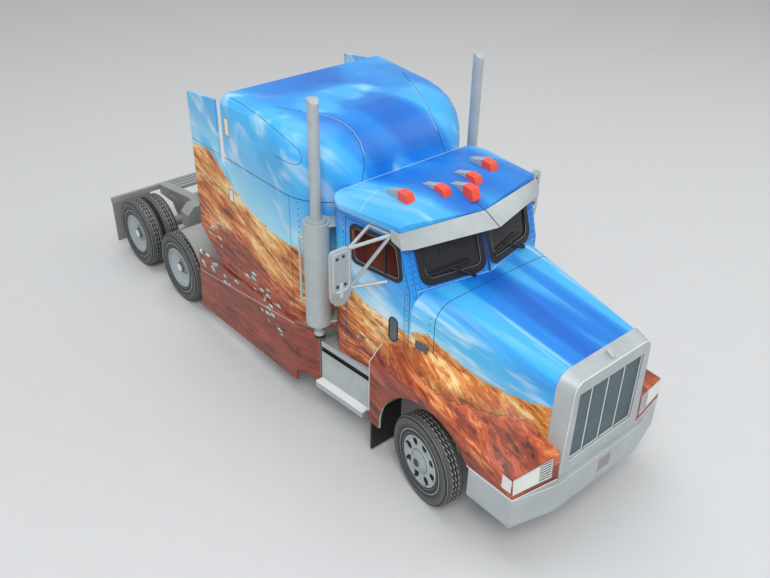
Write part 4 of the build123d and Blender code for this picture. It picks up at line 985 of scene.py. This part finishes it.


# painted shade in the front wheels: a dark ring behind the round holes, and a dark disc over the hub's bore, standing
# for the shade inside these openings
holeShadeProfile = [(2.3, 4.4), (2.3, 10.8), (2.5, 10.8), (2.5, 4.4)]
boreShadeDisc = {"segments": 24, "radius1": 0.0018, "radius2": 0.0017, "depth": 0.00016}
hubReach = 0.0026
for joint in frame["joints"]:
    if "_spin_" not in joint["name"]:
        continue
    row, side = joint["name"].split("_spin_")
    isFront = row == "front"
    outward = -1 if side == "right" else 1
    tyreNode, rimNode = [f"{row}_{part}{'' if isFront else 's'}_{side}" for part in ("tyre", "rim")]
    hub, turn = Vector(joint["pos_m"]), math.atan2(joint["axis"][1], joint["axis"][0])
    toWheel = Matrix.Translation(hub) @ Matrix.Rotation(turn, 4, "Z")
    outer = max(outward * (toWheel.inverted() @ v.co).x for v in nodes[tyreNode].data.vertices)
    face = toWheel @ Vector((outward * outer, 0, 0))
    shape = spunRing(tyreProfile(), tyre["steps"])
    if not isFront:
        twin = spunRing(tyreProfile(), tyre["steps"])
        bmesh.ops.translate(twin, verts=twin.verts, vec=((tyre["width"] + tyre["twinGap"]) / 1000, 0, 0))
        addShape(shape, twin)
    setOnAxle(shape, face, turn, outward)
    softenShading(shape, 40)
    body = nodes[tyreNode]["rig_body"]
    tyreInk = tyreLines(tyreNode + "_print", face, turn, outward)
    newPiece(tyreNode + "_treaded", shape, [tyreInk], body, [tyreNode])
    rimLook = rimLooks["front" if isFront else "twin"]
    dressNode(rimNode, [rimPrintAndShade(rimNode + "_print", face, turn, rimLook)])
    if not isFront:
        continue
    backing = spunRing(holeShadeProfile, 48)
    setOnAxle(backing, face, turn, outward)
    newPiece(f"holeShadeRing_{side}", backing, [cards["blackCard"]], body)
    ends = [toWheel.inverted() @ v.co for v in nodes[rimNode].data.vertices]
    hubEnd = max(outward * v.x for v in ends if math.hypot(v.y, v.z) < hubReach)
    cap = bmesh.new()
    placed = Matrix.Translation((outward * (hubEnd + 0.00006), 0, 0))
    addDisc(cap, boreShadeDisc, toWheel @ placed @ Matrix.Rotation(outward * math.pi / 2, 4, "Y"))
    newPiece(f"boreShadeCap_{side}", cap, [cards["hubDark"]], body)
print("wheels made")

# the camera stands where the photograph was taken from
view = {"eye": (-0.2360, -0.3045, 0.2806), "azimuth": -41.11, "elevation": 32.87, "roll": 1.05, "focal": 844.7,
        "pixels": 770, "sensor": 36}


def placeCamera():
    azimuth, elevation, roll = (math.radians(view[k]) for k in ("azimuth", "elevation", "roll"))
    data = bpy.data.cameras.new("photoCamera")
    data.sensor_width = view["sensor"]
    data.lens = view["focal"] / view["pixels"] * view["sensor"]
    data.clip_start = 0.01
    camera = addObject("photoCamera", data)
    turned = Matrix.Rotation(azimuth, 4, "Z") @ Matrix.Rotation(math.pi / 2 - elevation, 4, "X")
    camera.matrix_world = Matrix.Translation(view["eye"]) @ turned @ Matrix.Rotation(roll, 4, "Z")
    bpy.context.scene.camera = camera


# studio: pale floor, a broad key near the camera, a softer fill and a top light; each lamp has a place, a size
# and a power
studio = {"floor": ("#cfd1d3", 0.8, 0.02, {"scuff": 0.0, "bump": 0.0}), "world": 0.5,
          "aim": (0, 0, 0.05),
          "lamps": {"keyLamp": ((-0.45, -0.55, 0.75), 0.5, 4.6), "fillLamp": ((0.6, -0.4, 0.5), 0.6, 1.2),
                    "topLamp": ((0.0, 0.15, 0.9), 0.7, 2.6)}}


def buildStudio():
    shape = bmesh.new()
    bmesh.ops.create_grid(shape, x_segments=8, y_segments=8, size=3.0)
    floor = addObject("paleFloor", toMesh("paleFloor", shape))
    floor.data.materials.append(cardMaterial("floorPaint", *studio["floor"]))
    world = bpy.data.worlds.new("studioWorld")
    bpy.context.scene.world = world
    world.use_nodes = True
    plug(world.node_tree.nodes["Background"], {"Color": (1, 1, 1, 1), "Strength": studio["world"]})
    for name, (place, size, power) in studio["lamps"].items():
        lamp = bpy.data.lights.new(name, "AREA")
        lamp.shape = "DISK"
        lamp.size = size
        lamp.energy = power
        holder = addObject(name, lamp)
        holder.location = place
        holder.rotation_euler = (Vector(studio["aim"]) - Vector(place)).to_track_quat("-Z", "Y").to_euler()


placeCamera()
buildStudio()
bpy.context.scene.view_settings.view_transform = "Standard"
print("studio lit")
